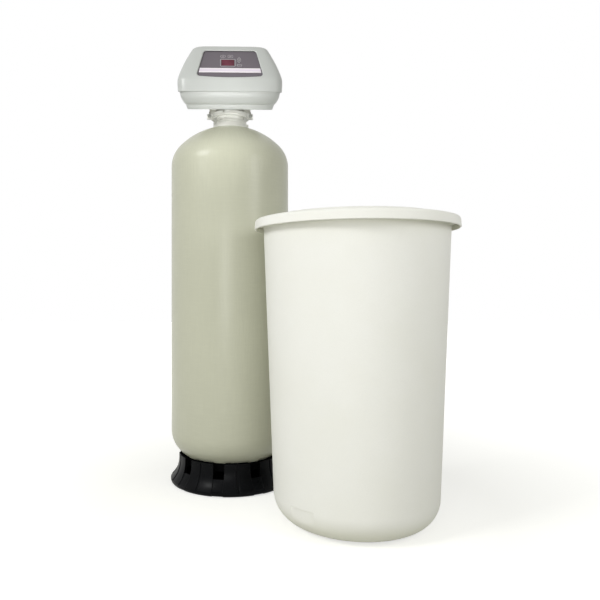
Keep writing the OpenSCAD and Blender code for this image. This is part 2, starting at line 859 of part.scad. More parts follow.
// Moulded valve body with its ports and water passages
module valve_body() {
    half = block_w / 2;
    bore_r = riser_d / 2 + run_gap;
    seal_half = seal_t / 2 + riser_seal_slack;
    color([0.9, 0.9, 0.88])
    difference() {
        union() {
            translate([0, 0, body_flange_z]) cylinder(r = flange_d / 2, h = flange_t);
            translate([0, 0, column_z - over]) cylinder(r = adapter_d / 2, h = block_z - column_z + 2 * over);
            block([-half, -block_front, block_z], [half, block_rear, plate_z]);
            for (x = [-port_x, port_x]) {
                rod_y(port_d / 2, 0, port_reach - port_thread_l, x, port_z);
                rod_y(port_thread_d / 2, 0, port_reach, x, port_z);
            }
        }
        for (x = [-port_x, port_x]) rod_y(port_bore_d / 2, -10, port_reach + over, x, port_z);
        translate([0, 0, body_flange_z - over]) cylinder(r = bore_r, h = port_z - body_flange_z + over);
        ring(adapter_bore_d / 2, riser_d / 2 + 6, body_flange_z - over, column_z + 6);
        ring(riser_d / 2 + 2 * seal_half, riser_d / 2, riser_seal_z - seal_half, riser_seal_z + seal_half);
        rod_x(passage_d / 2, 0, port_x, 0, port_z);
        translate([-port_x + 8, 0, column_z]) cylinder(d = passage_d, h = port_z - column_z);
        for (i = [1:flappers])
            translate([flapper_x(i), seat_y, plate_z - screw_depth]) cylinder(d = passage_d, h = block_h);
        for (side = [[-1, brine_bore_d], [1, drain_bore_d]])
            rod_y(side[1] / 2 + fitting_wall + run_gap, block_rear - fitting_seat, block_rear + over, 0,
                port_z + side[0] * fitting_drop);
        rod_y(injector_r + seat_gap, -block_front - over, -block_front + injector_seat, injector_x, port_z);
        for (x = [-1, 1], y = screw_y)
            translate([x * screw_x, y, plate_z - screw_depth])
                cylinder(d = screw_d + 2 * run_gap, h = block_h);
        for (x = [-half - over, wedge_x]) translate([x, 0, 0]) rotate([90, 0, 90])
            linear_extrude(half + over - wedge_x) polygon([
                [block_rear - wedge_l, block_z - over],
                [block_rear + over, block_z - over],
                [block_rear + over, block_z + wedge_h]
            ]);
    }
}

// Plate on the valve block that carries the camshaft, the flappers and the motor
module top_plate() {
    half = block_w / 2;
    color([0.82, 0.82, 0.8])
    difference() {
        union() {
            block([-plate_left, -plate_front, plate_z + seal_gap], [plate_right, plate_rear, deck_z]);
            for (x = [-bearing_x, bearing_x])
                block([x - bearing_t / 2, cam_y - bearing_half, deck_z - over],
                    [x + bearing_t / 2, cam_y + bearing_half, cam_z - seal_gap]);
            for (i = [0:flappers]) {
                x = flapper_x(i) + flapper_pitch / 2;
                block([x - ear_w / 2, pin_y - ear_half, deck_z - over],
                    [x + ear_w / 2, pin_y + ear_half, pin_z + ear_half]);
            }
        }
        rod_x(cam_shaft_d / 2 + run_gap, -half, half, cam_y, cam_z);
        rod_x(flapper_pin_d / 2 + run_gap, -half, half, pin_y, pin_z);
        for (i = [1:flappers])
            translate([flapper_x(i), seat_y, plate_z]) cylinder(d = passage_d, h = block_h);
        for (x = [-1, 1], y = screw_y)
            translate([x * screw_x, y, plate_z]) cylinder(d = screw_d + 2 * run_gap, h = block_h);
    }
}

// Caps that close the two camshaft bearings
module bearing_caps() {
    color([0.82, 0.82, 0.8])
    for (x = [-bearing_x, bearing_x]) difference() {
        block([x - bearing_t / 2, cam_y - bearing_half, cam_z],
            [x + bearing_t / 2, cam_y + bearing_half, cam_z + bearing_cap_h]);
        rod_x(cam_shaft_d / 2 + run_gap, -block_w, block_w, cam_y, cam_z);
    }
}

// Screws that hold the top plate to the valve block
module plate_screws() {
    color([0.75, 0.75, 0.76])
    for (x = [-1, 1], y = screw_y) translate([x * screw_x, y, 0]) {
        translate([0, 0, plate_z - screw_depth + over]) cylinder(d = screw_d, h = screw_depth + plate_t);
        translate([0, 0, deck_z + seal_gap]) cylinder(d = 2 * screw_d, h = 3);
    }
}

// Camshaft with a nose for each flapper and an index disc
module camshaft() {
    color([0.25, 0.27, 0.3])
    difference() {
        union() {
            rod_x(cam_shaft_d / 2, disc_x - disc_t, gear_x + gear_w + 3, cam_y, cam_z);
            rod_x(disc_r, disc_x - disc_t / 2, disc_x + disc_t / 2, cam_y, cam_z);
            for (i = [1:flappers]) translate([flapper_x(i) - cam_t / 2, cam_y, cam_z]) {
                rotate([0, 90, 0]) cylinder(r = cam_base_r, h = cam_t);
                rotate([i * 360 / flappers, 0, 0]) intersection() {
                    rotate([0, 90, 0]) cylinder(r = cam_nose_r, h = cam_t);
                    translate([over, -cam_nose_w / 2, 0])
                        cube([cam_t - 2 * over, cam_nose_w, cam_nose_r + over]);
                }
            }
        }
        for (i = [0:7]) translate([disc_x, cam_y, cam_z]) rotate([i * 45 + 20, 0, 0])
            translate([-disc_t, -1.5, disc_r - 6]) cube([2 * disc_t, 3, 10]);
    }
}

// Angle between an involute flank and its start on the base circle, at radius r
function involute_turn(base_r, r) =
    let (a = acos(min(1, base_r / max(r, base_r)))) tan(a) * 180 / PI - a;

// Outline of a spur gear with a tooth centred on +X
module gear_outline(teeth, first) {
    pressure = 25;
    backlash = 0.3;
    r = gear_module * teeth / 2;
    base_r = r * cos(pressure);
    tip_r = r + 0.9 * gear_module;
    root_r = r - 1.2 * gear_module;
    half_turn = 90 / teeth - backlash / r * 45 / PI;
    radii = concat([root_r], [for (i = [0:4]) max(base_r, root_r) + (tip_r - max(base_r, root_r)) * i / 4]);
    function flank(q) = half_turn + involute_turn(base_r, r) - involute_turn(base_r, q);
    polygon([for (k = [0:teeth - 1]) let (mid = first + k * 360 / teeth) each concat(
        [for (q = radii) q * [cos(mid - flank(q)), sin(mid - flank(q))]],
        [for (i = [len(radii) - 1:-1:0]) radii[i] * [cos(mid + flank(radii[i])), sin(mid + flank(radii[i]))]]
    )]);
}

// Gear across X at a plan position, with a round bore
module gear_x_axis(teeth, first, y, bore_d) {
    translate([gear_x, y, cam_z]) rotate([90, 0, 90]) difference() {
        linear_extrude(gear_w) gear_outline(teeth, first);
        translate([0, 0, -over]) cylinder(d = bore_d, h = gear_w + 2 * over);
    }
}

// Large gear on the end of the camshaft
module cam_gear() {
    color([0.9, 0.88, 0.8]) gear_x_axis(cam_teeth, 0, cam_y, cam_shaft_d + 2 * run_gap);
}

// Geared motor that turns the camshaft
module gear_motor() {
    x1 = block_w / 2;
    color([0.5, 0.52, 0.55])
    difference() {
        union() {
            block([x1 - gearcase_l, motor_y - motor_r - over, deck_z + seal_gap],
                [x1, motor_y + motor_r + over, cam_z + motor_r + over]);
            rod_x(motor_r, x1 - gearcase_l - motor_l, x1 - gearcase_l + over, motor_y, cam_z);
        }
        rod_x(pinion_shaft_d / 2 + run_gap, x1 - 12, x1 + over, motor_y, cam_z);
    }
}

// Motor shaft and its pinion
module motor_pinion() {
    color([0.85, 0.85, 0.82]) {
        gear_x_axis(pinion_teeth, 180 / pinion_teeth, motor_y, pinion_shaft_d - 1);
        rod_x(pinion_shaft_d / 2, block_w / 2 - 11, gear_x + gear_w, motor_y, cam_z);
    }
}

// Steel pin that the flappers hinge on
module flapper_pin() {
    reach = flapper_pitch * flappers / 2 + ear_w;
    color([0.75, 0.75, 0.76]) rod_x(flapper_pin_d / 2, -reach, reach, pin_y, pin_z);
}

// One valve flapper: its seal at the front, its tail under the camshaft
module flapper(i) {
    x = flapper_x(i);
    tail_top = cam_z - cam_nose_r - 0.5;
    color([0.2, 0.22, 0.25])
    difference() {
        union() {
            rod_x(hub_r, x - flapper_w / 2, x + flapper_w / 2, pin_y, pin_z);
            block([x - flapper_w / 2, seat_y - 9, arm_z], [x + flapper_w / 2, cam_y + 8, arm_z + arm_t]);
            translate([x, seat_y, deck_z + seat_gap]) cylinder(r = flapper_w / 2 - 0.5, h = arm_z - deck_z);
            block([x - flapper_w / 4, cam_y - 4, arm_z], [x + flapper_w / 4, cam_y + 4, tail_top]);
        }
        rod_x(flapper_pin_d / 2 + run_gap, x - flapper_w, x + flapper_w, pin_y, pin_z);
    }
}

// Leaf spring comb that holds the flappers down at their hubs
module valve_spring() {
    reach = flapper_pitch * flappers / 2;
    bar_front = -plate_front + 2;
    leaf_t = 1;
    leaf_z = arm_z + arm_t + 9;
    hub_top = pin_z + hub_r + seat_gap;
    color([0.7, 0.71, 0.73]) {
        block([-reach, bar_front, deck_z + seal_gap], [reach, bar_front + 9, deck_z + 2]);
        for (i = [1:flappers]) {
            x = flapper_x(i);
            block([x - 4, bar_front, deck_z + 1], [x + 4, bar_front + leaf_t, leaf_z]);
            block([x - 4, bar_front, leaf_z - leaf_t], [x + 4, pin_y + 1, leaf_z]);
            block([x - 4, pin_y, hub_top], [x + 4, pin_y + leaf_t, leaf_z]);
        }
    }
}

// Screw cap over the brine injector
module injector_cap() {
    color([0.3, 0.32, 0.35]) {
        rod_y(injector_r, -block_front - 3, -block_front + injector_seat - seat_gap, injector_x, port_z);
        translate([injector_x, -block_front - 3 + tiny, port_z]) rotate([90, 0, 0])
            cylinder(r = injector_r - 2, h = 9, $fn = 6);
    }
}

// Optical sensor that reads the camshaft's index disc
module position_sensor() {
    z0 = deck_z + seal_gap;
    half_l = 8;
    half_w = 6;
    slot_half = 2.5;
    color([0.12, 0.13, 0.14])
    difference() {
        block([disc_x - half_w, cam_y - half_l, z0], [disc_x + half_w, cam_y + half_l, cam_z - disc_r + 6]);
        block([disc_x - slot_half, -block_w, min(z0 + 5, cam_z - disc_r - over)],
            [disc_x + slot_half, block_w, cam_z]);
    }
}

// Union nut and pipe socket on a port
module port_union(x) {
    y0 = port_reach - port_thread_l + 2;
    y1 = port_reach + seat_gap;
    y2 = y1 + pipe_stop;
    color([0.88, 0.88, 0.86])
    difference() {
        union() {
            translate([x, y0, port_z]) rotate([-90, 0, 0])
                cylinder(d = port_d + 10, h = port_thread_l + 4, $fn = 8);
            rod_y(port_d / 2, y0, y2 + pipe_depth, x, port_z);
        }
        rod_y(port_thread_d / 2 + run_gap, y0 - over, y1, x, port_z);
        rod_y(port_bore_d / 2 - 2, y0, y2 + pipe_depth, x, port_z);
        rod_y(pipe_d / 2, y2, y2 + pipe_depth + over, x, port_z);
    }
}

// Union on the inlet port
module inlet_union() {
    port_union(-port_x);
}

// Union on the outlet port
module outlet_union() {
    port_union(port_x);
}

// Spider in the outlet port that carries the flow meter's axle
module meter_axle() {
    y0 = block_rear + meter_y;
    r = port_bore_d / 2;
    color([0.3, 0.32, 0.35]) {
        difference() {
            rod_y(r - 0.1, y0, y0 + 4, port_x, port_z);
            rod_y(r - 2.5, y0 - over, y0 + 5, port_x, port_z);
        }
        block([port_x - r + 1, y0, port_z - 1], [port_x + r - 1, y0 + 3, port_z + 1]);
        block([port_x - 1, y0, port_z - r + 1], [port_x + 1, y0 + 3, port_z + r - 1]);
        rod_y(1.5, y0, y0 + meter_axle_l, port_x, port_z);
    }
}

// Turbine of the flow meter
module meter_turbine() {
    y0 = block_rear + turbine_y;
    r = port_bore_d / 2 - 2;
    color([0.2, 0.35, 0.6])
    difference() {
        union() {
            rod_y(4, y0, y0 + turbine_l, port_x, port_z);
            for (turn = [0:60:300]) translate([port_x, y0 + turbine_l / 2, port_z]) rotate([0, turn, 0])
                intersection() {
                    translate([r / 2, 0, 0]) rotate([30, 0, 0]) cube([r, turbine_l - 1, 1.2], center = true);
                    rod_y(r, -turbine_l / 2, turbine_l / 2, 0, 0);
                }
        }
        rod_y(1.5 + run_gap, y0 - over, y0 + turbine_l + over, port_x, port_z);
    }
}

// Straight threaded fitting in the back of the valve block
module rear_fitting(z, bore_d) {
    y0 = block_rear - fitting_seat + over;
    y1 = block_rear + fitting_l;
    r = bore_d / 2 + fitting_wall;
    hex_d = 2 * fitting_drop - 4;
    barb = 6;
    difference() {
        union() {
            rod_y(r, y0, y1, 0, z);
            translate([0, block_rear + seal_gap, z]) rotate([-90, 0, 0]) cylinder(d = hex_d, h = 8, $fn = 6);
            for (i = [1:3]) rod_y(r + 1, y1 - i * barb, y1 - i * barb + barb / 2, 0, z);
        }
        rod_y(bore_d / 2, y0 - over, y1 + over, 0, z);
    }
}

// Drain hose fitting
module drain_fitting() {
    color([0.3, 0.32, 0.35]) rear_fitting(port_z + fitting_drop, drain_bore_d);
}

// Brine tube fitting
module brine_fitting() {
    color([0.85, 0.85, 0.82]) rear_fitting(port_z - fitting_drop, brine_bore_d);
}

// Closed plan outline of a station, shrunk by a wall and moved up
function plan_points(st, shrink, lift) =
    let (a = st[2] - shrink, front = st[3] + shrink, rear = st[4] - shrink,
         mid = (front + rear) / 2, b = (rear - front) / 2, p = 2 / plan_power)
    [for (i = [0:loft_fn - 1]) let (t = i * 360 / loft_fn, c = cos(t), s = sin(t),
        y = mid + b * sign(s) * pow(abs(s), p))
        [a * sign(c) * pow(abs(c), p), y, st[0] + lift + st[1] * (y - st[3])]];

// Catmull-Rom value between p1 and p2
function spline(p0, p1, p2, p3, t) =
    ((2 * p1) + (p2 - p0) * t + (2 * p0 - 5 * p1 + 4 * p2 - p3) * t * t
     + (3 * p1 - p0 - 3 * p2 + p3) * t * t * t) / 2;

// Stations with smooth steps put in between
function smooth_stations(st, steps) = let (n = len(st)) concat(
    [for (i = [0:n - 2], k = [0:steps - 1])
        spline(st[max(0, i - 1)], st[i], st[i + 1], st[min(n - 1, i + 2)], k / steps)], [st[n - 1]]);

// Faces of a tube of rings, each with the same number of points
function tube_faces(rings) = [for (j = [0:rings - 2], i = [0:loft_fn - 1])
    let (k = (i + 1) % loft_fn, a = j * loft_fn + i, b = j * loft_fn + k, c = b + loft_fn, d = a + loft_fn)
    each [[a, c, b], [a, d, c]]];

// Closed skin through a list of rings that runs up the outside, over the edge and back up the inside
module skin(rings) {
    n = len(rings);
    polyhedron(
        points = [for (r = rings) each r],
        faces = concat(
            tube_faces(n),
            [[for (i = [0:loft_fn - 1]) i], [for (i = [loft_fn - 1:-1:0]) (n - 1) * loft_fn + i]]
        ),
        convexity = 6
    );
}

// Lower half of the head's housing
module lower_tray() {
    top = len(tray_stations) - 1;
    inner_low = station(lip_z + shell_wall, seam_slope, lip_size);
    rings = concat(
        [for (st = tray_stations) plan_points(st, 0, 0)],
        [for (i = [top:-1:1]) plan_points(tray_stations[i], shell_wall, 0)],
        [plan_points(inner_low, shell_wall, 0)]
    );
    boss_places = [for (x = [-1, 1]) [x * (block_w / 2 - tray_boss_in[0]), tray_boss_in[1] - block_front]];
    open_x = block_w / 2 + tray_clear;
    color([0.8, 0.82, 0.8])
    difference() {
        union() {
            skin(rings);
            for (p = boss_places) {
                foot_z = lip_z + 1 + seam_slope * (p[1] + lip_size[1]);
                translate([p[0], p[1], foot_z]) cylinder(d = tray_boss_d, h = block_z - seal_gap - foot_z);
            }
        }
        translate([0, 0, neck_z]) cylinder(r = tray_hole_r, h = block_h + block_rise);
        block([-open_x, tray_open_y, neck_z], [open_x, block_rear + 6 + over, deck_z]);
        block([-tray_gap_w / 2, block_rear + 6, neck_z], [tray_gap_w / 2, 2 * seam_size[2], crown_z]);
        rod_y(grommet_r + seat_gap, block_rear, 2 * seam_size[2], grommet_x, grommet_z);
    }
}

// Rubber grommet where a power lead would leave the tray
module cord_grommet() {
    y0 = grommet_y - 8;
    y1 = grommet_y + 5;
    color([0.1, 0.1, 0.1])
    difference() {
        union() {
            rod_y(grommet_r, y0, y1, grommet_x, grommet_z);
            rod_y(1.5 * grommet_r, y1 - shell_wall, y1, grommet_x, grommet_z);
        }
        rod_y(lead_r, y0 - over, y1 + over, grommet_x, grommet_z);
    }
}

// Places its children in the control panel's frame
module on_panel() {
    translate(panel_at) rotate([90 - panel_tilt, 0, 0]) children();
}

// Panel outline with rounded corners, grown by a margin
module panel_outline(margin) {
    foot = -panel_l / 2 - margin;
    head = panel_l / 2 + margin;
    r = panel_corner_r;
    hull() {
        for (x = [-1, 1]) {
            translate([x * (panel_foot_w + margin - r), foot + r]) circle(r = r, $fn = 32);
            translate([x * (panel_head_w + margin - r), head - r]) circle(r = r, $fn = 32);
        }
        polygon(concat([[0, 0]], [for (i = [-8:8]) let (s = i / 8)
            [s * (panel_foot_w + margin - r), foot - panel_bow * (1 - s * s)]]));
    }
}

// Upper half of the head's housing, which lifts off
module upper_cover() {
    outer = smooth_stations(cover_stations, cover_steps);
    n = len(outer);
    edge = cover_stations[0];
    lap_z = seam_z + shell_lap + seat_gap;
    function edge_at(z) = [z, edge[1], edge[2], edge[3], edge[4]];
    rings = concat(
        [for (i = [n - 1:-1:0]) plan_points(outer[i], 0, 0)],
        [plan_points(edge, shell_wall, 0)],
        [plan_points(edge_at(lap_z), shell_wall, 0)],
        [plan_points(edge_at(lap_z), shell_wall + rib_w, 0)],
        [plan_points(edge_at(lap_z + rib_h), shell_wall + rib_w, 0)],
        [plan_points(edge_at(lap_z + 2 * rib_h), shell_wall, 0)],
        [for (i = [cover_steps + 1:n - 1]) plan_points(outer[i], shell_wall, i == n - 1 ? -shell_wall : 0)]
    );
    color([0.8, 0.82, 0.8])
    difference() {
        skin([for (i = [len(rings) - 1:-1:0]) rings[i]]);
        on_panel() translate([0, 0, -panel_cut]) linear_extrude(2 * panel_cut) panel_outline(0);
        block([-rib_gap_x, -cover_edge[1] + shell_wall + rib_left, seam_z], [rib_gap_x, 0, lap_z + 3 * rib_h]);
    }
}

// Bracket that carries the control board and the faceplate
module panel_bracket() {
    foot_y = panel_at[1] - bracket_half_l * sin(panel_tilt) - bracket_n * cos(panel_tilt);
    foot_z = panel_at[2] - bracket_half_l * cos(panel_tilt) + bracket_n * sin(panel_tilt);
    arm_h = 5;
    color([0.2, 0.21, 0.23]) {
        on_panel() {
            translate([-bracket_half_w, -bracket_half_l, bracket_n - bracket_t])
                cube([2 * bracket_half_w, 2 * bracket_half_l, bracket_t]);
            for (x = [-1, 1], v = [-1, 1]) {
                translate([x * (panel_head_w - post_d / 2), v * (bracket_half_l - post_d), bracket_n - over])
                    cylinder(d = post_d, h = face_back_n - seal_gap - bracket_n + over);
                translate([x * (board_w / 2 - post_d), v * (board_l / 2 - post_d), bracket_n - over])
                    cylinder(d = post_d, h = board_n - board_t - seal_gap - bracket_n + over);
            }
        }
        for (x = [-1, 1]) translate([x * (bracket_half_w - bracket_arm_w / 2 - over), 0, 0]) {
            block([-bracket_arm_w / 2, foot_y, deck_z + seal_gap],
                [bracket_arm_w / 2, bracket_arm_w - plate_front, deck_z + arm_h]);
            block([-bracket_arm_w / 2, foot_y, min(deck_z + seal_gap, foot_z)],
                [bracket_arm_w / 2, foot_y + arm_h, max(deck_z, foot_z) + arm_h]);
        }
    }
}

// Circuit board with its display and push switches
module control_board() {
    color([0.1, 0.3, 0.16])
    on_panel() {
        translate([-board_w / 2, -board_l / 2, board_n - board_t]) cube([board_w, board_l, board_t]);
        translate([display_at[0] - display_w / 2 - 2, display_at[1] - display_h / 2 - 2, board_n - tiny])
            cube([display_w + 4, display_h + 4, face_back_n - seat_gap - board_n]);
        for (p = button_places) translate([p[0] - 3, p[1] - 3, board_n - tiny])
            cube([6, 6, face_back_n - button_flange_t - button_travel - 0.4 - board_n]);
    }
}

// Outline of a button: 0 points up, 1 points down, 2 is a bar
module button_outline(kind, grow) {
    if (kind == 2) square([14 + 2 * grow, 7.5 + 2 * grow], center = true);
    else rotate(kind * 180) polygon([
        [-7 - 1.9 * grow, -4.5 - grow],
        [7 + 1.9 * grow, -4.5 - grow],
        [0, 5 + 1.9 * grow]
    ]);
}

// Printed faceplate behind the panel opening
module faceplate() {
    color([0.45, 0.43, 0.46])
    on_panel() translate([0, 0, face_back_n]) difference() {
        linear_extrude(faceplate_t) hull() {
            panel_outline(face_margin);
            translate([0, face_head]) panel_outline(face_margin);
        }
        translate([display_at[0], display_at[1], 0]) cube([display_w, display_h, 4 * faceplate_t], center = true);
        for (k = [0:2]) translate([button_places[k][0], button_places[k][1], -over])
            linear_extrude(3 * faceplate_t) button_outline(k, button_gap);
    }
}

// Tinted window over the display
module display_window() {
    color([0.45, 0.06, 0.1])
    on_panel() translate([display_at[0], display_at[1], face_n - faceplate_t / 2 + 0.2])
        cube([display_w - 2 * seat_gap, display_h - 2 * seat_gap, faceplate_t + 0.4], center = true);
}

// Pale strip across the faceplate
module accent_strip() {
    half_foot = panel_foot_w + (panel_head_w - panel_foot_w) * (panel_l / 2 - strip_drop) / panel_l;
    color([0.92, 0.9, 0.93])
    on_panel() translate([-half_foot + 2, -strip_drop - strip_h / 2, face_n + seal_gap])
        cube([2 * half_foot - 4, strip_h, strip_proud]);
}

// Push button of the given kind
module push_button(kind) {
    color([0.52, 0.5, 0.53])
    on_panel() translate([button_places[kind][0], button_places[kind][1], 0]) {
        translate([0, 0, face_back_n - button_flange_t / 2])
            linear_extrude(faceplate_t + button_flange_t / 2 + button_proud) button_outline(kind, 0);
        translate([0, 0, face_back_n - button_flange_t - seal_gap])
            linear_extrude(button_flange_t) button_outline(kind, 0.9);
    }
}

// Button that raises a setting
module up_button() {
    push_button(0);
}

// Button that lowers a setting
module down_button() {
    push_button(1);
}

// Button that selects a setting
module set_button() {
    push_button(2);
}

// Half outline of the brine tank, drawn this far inside its outer surface
module brine_outline(inset, top) {
    r = brine_corner_r - inset;
    shift = inset / cos(brine_lean);
    polygon([
        [0, inset],
        [corner_x, inset],
        [corner_x, brine_corner_r],
        [corner_x + r * cos(brine_lean), brine_corner_r - r * sin(brine_lean)],
        [wall_r(top) - shift, top],
        [0, top]
    ]);
    translate([corner_x, brine_corner_r]) circle(r = r);
}

// Places its children on the tank's wall, with local X along the wall's outward normal
module on_wall(turn, z, depth) {
    rotate(turn) translate([wall_r(z), 0, z]) rotate([0, brine_lean, 0]) translate([-depth, 0, 0]) children();
}

// Tapered brine tank with a flanged rim
module brine_tank() {
    color([0.93, 0.93, 0.9])
    difference() {
        rotate_extrude() difference() {
            union() {
                brine_outline(0, brine_h);
                translate([brine_r - over, brine_h - rim_h]) square([rim_w + over, rim_h]);
            }
            brine_outline(brine_wall, brine_h + over);
            translate([-tank_d, -over]) square([tank_d, 2 * brine_h]);
        }
        rotate(flat_turn) translate([wall_r(flat_h) - flat_depth, 0, flat_h]) rotate([0, flat_lean, 0]) {
            translate([0, -flat_w / 2, -flat_h]) cube([brine_corner_r, flat_w, flat_h]);
            translate([-knockout_groove, 0, -knockout_d / 2 - 6]) rotate([0, 90, 0]) difference() {
                cylinder(d = knockout_d, h = flat_depth);
                translate([0, 0, -over]) cylinder(d = knockout_d - 2, h = flat_depth + 2 * over);
            }
        }
        on_wall(overflow_turn, overflow_z, wall_cut) rotate([0, 90, 0])
            cylinder(d = overflow_bore_d + 2 * overflow_wall + 2 * seat_gap, h = 2 * wall_cut);
        rotate(well_turn) translate([corner_x, 0, safety_z]) rotate([0, 90, 0])
            cylinder(d = stub_d + 2 * seat_gap, h = lid_d);
    }
}

// Lid of the brine tank, which lifts off
module brine_lid() {
    r = lid_d / 2;
    top = lid_z + lid_wall;
    foot = top - lid_skirt_h;
    crown_r = lid_crown_d / 2;
    color([0.93, 0.93, 0.91])
    rotate_extrude() {
        difference() {
            union() {
                polygon([
                    [0, foot],
                    [r, foot],
                    [r - 1, top - lid_edge_r],
                    [r - 1 - lid_edge_r, top - lid_edge_r],
                    [r - 1 - lid_edge_r, top],
                    [crown_r + 2 * lid_crown_h, top],
                    [crown_r, top + lid_crown_h],
                    [0, top + lid_crown_h]
                ]);
                translate([r - 1 - lid_edge_r, top - lid_edge_r]) circle(r = lid_edge_r);
            }
            polygon([
                [-over, foot - over],
                [r - lid_wall, foot - over],
                [r - lid_wall, lid_z],
                [crown_r - lid_wall, lid_z],
                [crown_r - lid_wall - lid_crown_h, lid_z + lid_crown_h],
                [-over, lid_z + lid_crown_h]
            ]);
        }
        translate([brine_r - brine_wall - lid_locate_t - lid_locate_gap, lid_z - lid_locate_h])
            square([lid_locate_t, lid_locate_h + over]);
    }
}

// Tube that keeps salt away from the float
module brine_well() {
    r = well_d / 2;
    color([0.95, 0.95, 0.94])
    translate(well_at) difference() {
        ring(r, r - well_wall, brine_wall + seal_gap, well_top);
        for (i = [0:5], turn = [0, 90]) rotate(turn)
            translate([-r - over, -6, 25 + i * 12]) cube([2 * r + 2 * over, 12, 3]);
        rotate(well_turn) translate([0, 0, safety_z]) rotate([0, 90, 0])
            cylinder(d = stub_d + 2 * seat_gap, h = 2 * r);
    }
}

// Cap of the brine well, which lifts off
module well_cap() {
    r = well_d / 2;
    color([0.15, 0.16, 0.18])
    translate(well_at) {
        ring(r + seat_gap + cap_t, r + seat_gap, well_top - cap_skirt_h, well_top + seat_gap + cap_t);
        translate([0, 0, well_top + seat_gap]) cylinder(r = r + seat_gap + over, h = cap_t);
        translate([0, 0, well_top + seat_gap + cap_t - tiny]) cylinder(r = 12, h = 5);
    }
}

// Perforated platform that carries the salt
module salt_grid() {
    span = floor(grid_r / grid_pitch);
    clear_r = well_d / 2 + grid_hole_d;
    color([0.9, 0.9, 0.88])
    difference() {
        translate([0, 0, grid_z]) cylinder(r = grid_r, h = grid_t);
        translate(well_at + [0, 0, grid_z - over]) cylinder(r = well_d / 2 + 1, h = grid_t + 2 * over);
        for (i = [-span:span], j = [-span:span])
            if (norm([i, j] * grid_pitch) < grid_r - grid_hole_d
                && norm([i * grid_pitch - well_at[0], j * grid_pitch - well_at[1]]) > clear_r)
                translate([i * grid_pitch, j * grid_pitch, grid_z - over])
                    cylinder(d = grid_hole_d, h = grid_t + 2 * over, $fn = 24);
    }
}

// Tubes that hold the salt grid off the floor
module grid_legs() {
    color([0.9, 0.9, 0.88])
    for (turn = leg_turns) rotate(turn) translate([leg_offset, 0, 0])
        ring(leg_d / 2, leg_d / 2 - 3, brine_wall + seal_gap, grid_z - seal_gap);
}

// Safety valve at the top of the brine well
module safety_valve() {
    block_foot = safety_z - safety_block_drop;
    color([0.2, 0.22, 0.25])
    translate(well_at) rotate(well_turn) difference() {
        union() {
            translate([-safety_block[0] / 2, -safety_block[1] / 2, block_foot]) cube(safety_block);
            translate([0, 0, safety_z]) rotate([0, 90, 0]) cylinder(d = stub_d, h = stub_end);
            translate([well_d / 2 + seat_gap, 0, safety_z]) rotate([0, 90, 0])
                cylinder(d = stub_d + 10, h = 7, $fn = 6);
            translate([stub_end - stub_l + 1, 0, safety_z]) rotate([0, 90, 0])
                cylinder(d = stub_d + 10, h = 7, $fn = 6);
        }
        translate([0, rod_off, block_foot - over])
            cylinder(d = rod_d + 2 * run_gap, h = safety_block[2] + 2 * over);
        translate([0, -rod_off, block_foot - over])
            cylinder(d = pickup_d + 2 * run_gap, h = pickup_seat + over);
        translate([stub_end - stub_socket, 0, safety_z]) rotate([0, 90, 0])
            cylinder(d = brine_bore_d, h = well_d);
        translate([stub_bore_x, 0, safety_z]) rotate([0, 90, 0])
            cylinder(d = brine_bore_d - 3, h = stub_end - stub_socket - stub_bore_x + over);
        translate([0, -3, safety_z - 2]) rotate([0, 90, 0]) cylinder(d = 5, h = stub_bore_x + over);
    }
}

// Tube that draws brine up, with its air check and strainer at the foot
module pickup_tube() {
    color([0.85, 0.85, 0.84])
    translate(well_at) rotate(well_turn) difference() {
        union() {
            translate([0, -rod_off, brine_wall + pickup_stem_z])
                cylinder(d = pickup_d, h = safety_z - 8 - brine_wall - pickup_stem_z);
            translate([0, 0, brine_wall + seal_gap]) cylinder(r = pickup_foot_r, h = pickup_foot_h);
        }
        translate([0, rod_off, brine_wall + 4]) cylinder(d = rod_d + 2 * run_gap, h = pickup_foot_h + over);
        for (i = [0:4], turn = [0, 90]) rotate(turn)
            translate([-pickup_foot_r - 2, -8, brine_wall + 5 + i * 5]) cube([8, 16, 2]);
        translate([0, -rod_off, brine_wall + pickup_bore_z]) cylinder(d = pickup_d - 4, h = safety_z);
    }
}

// Rod that lifts the safety valve's seat
module float_rod() {
    color([0.9, 0.9, 0.9])
    translate(well_at) rotate(well_turn)
        translate([0, rod_off, rod_foot]) cylinder(d = rod_d, h = rod_top - rod_foot);
}

// Float on the rod, notched to clear the pickup tube
module float() {
    color([0.95, 0.95, 0.95])
    translate(well_at) rotate(well_turn) difference() {
        translate([0, rod_off / 2, float_z]) cylinder(d = float_d, h = float_h);
        translate([0, rod_off, float_z - over]) cylinder(d = rod_d + 2 * run_gap, h = float_h + 2 * over);
        translate([-6, -rod_off - float_d, float_z - over]) cube([12, float_d + 6, float_h + 2 * over]);
    }
}

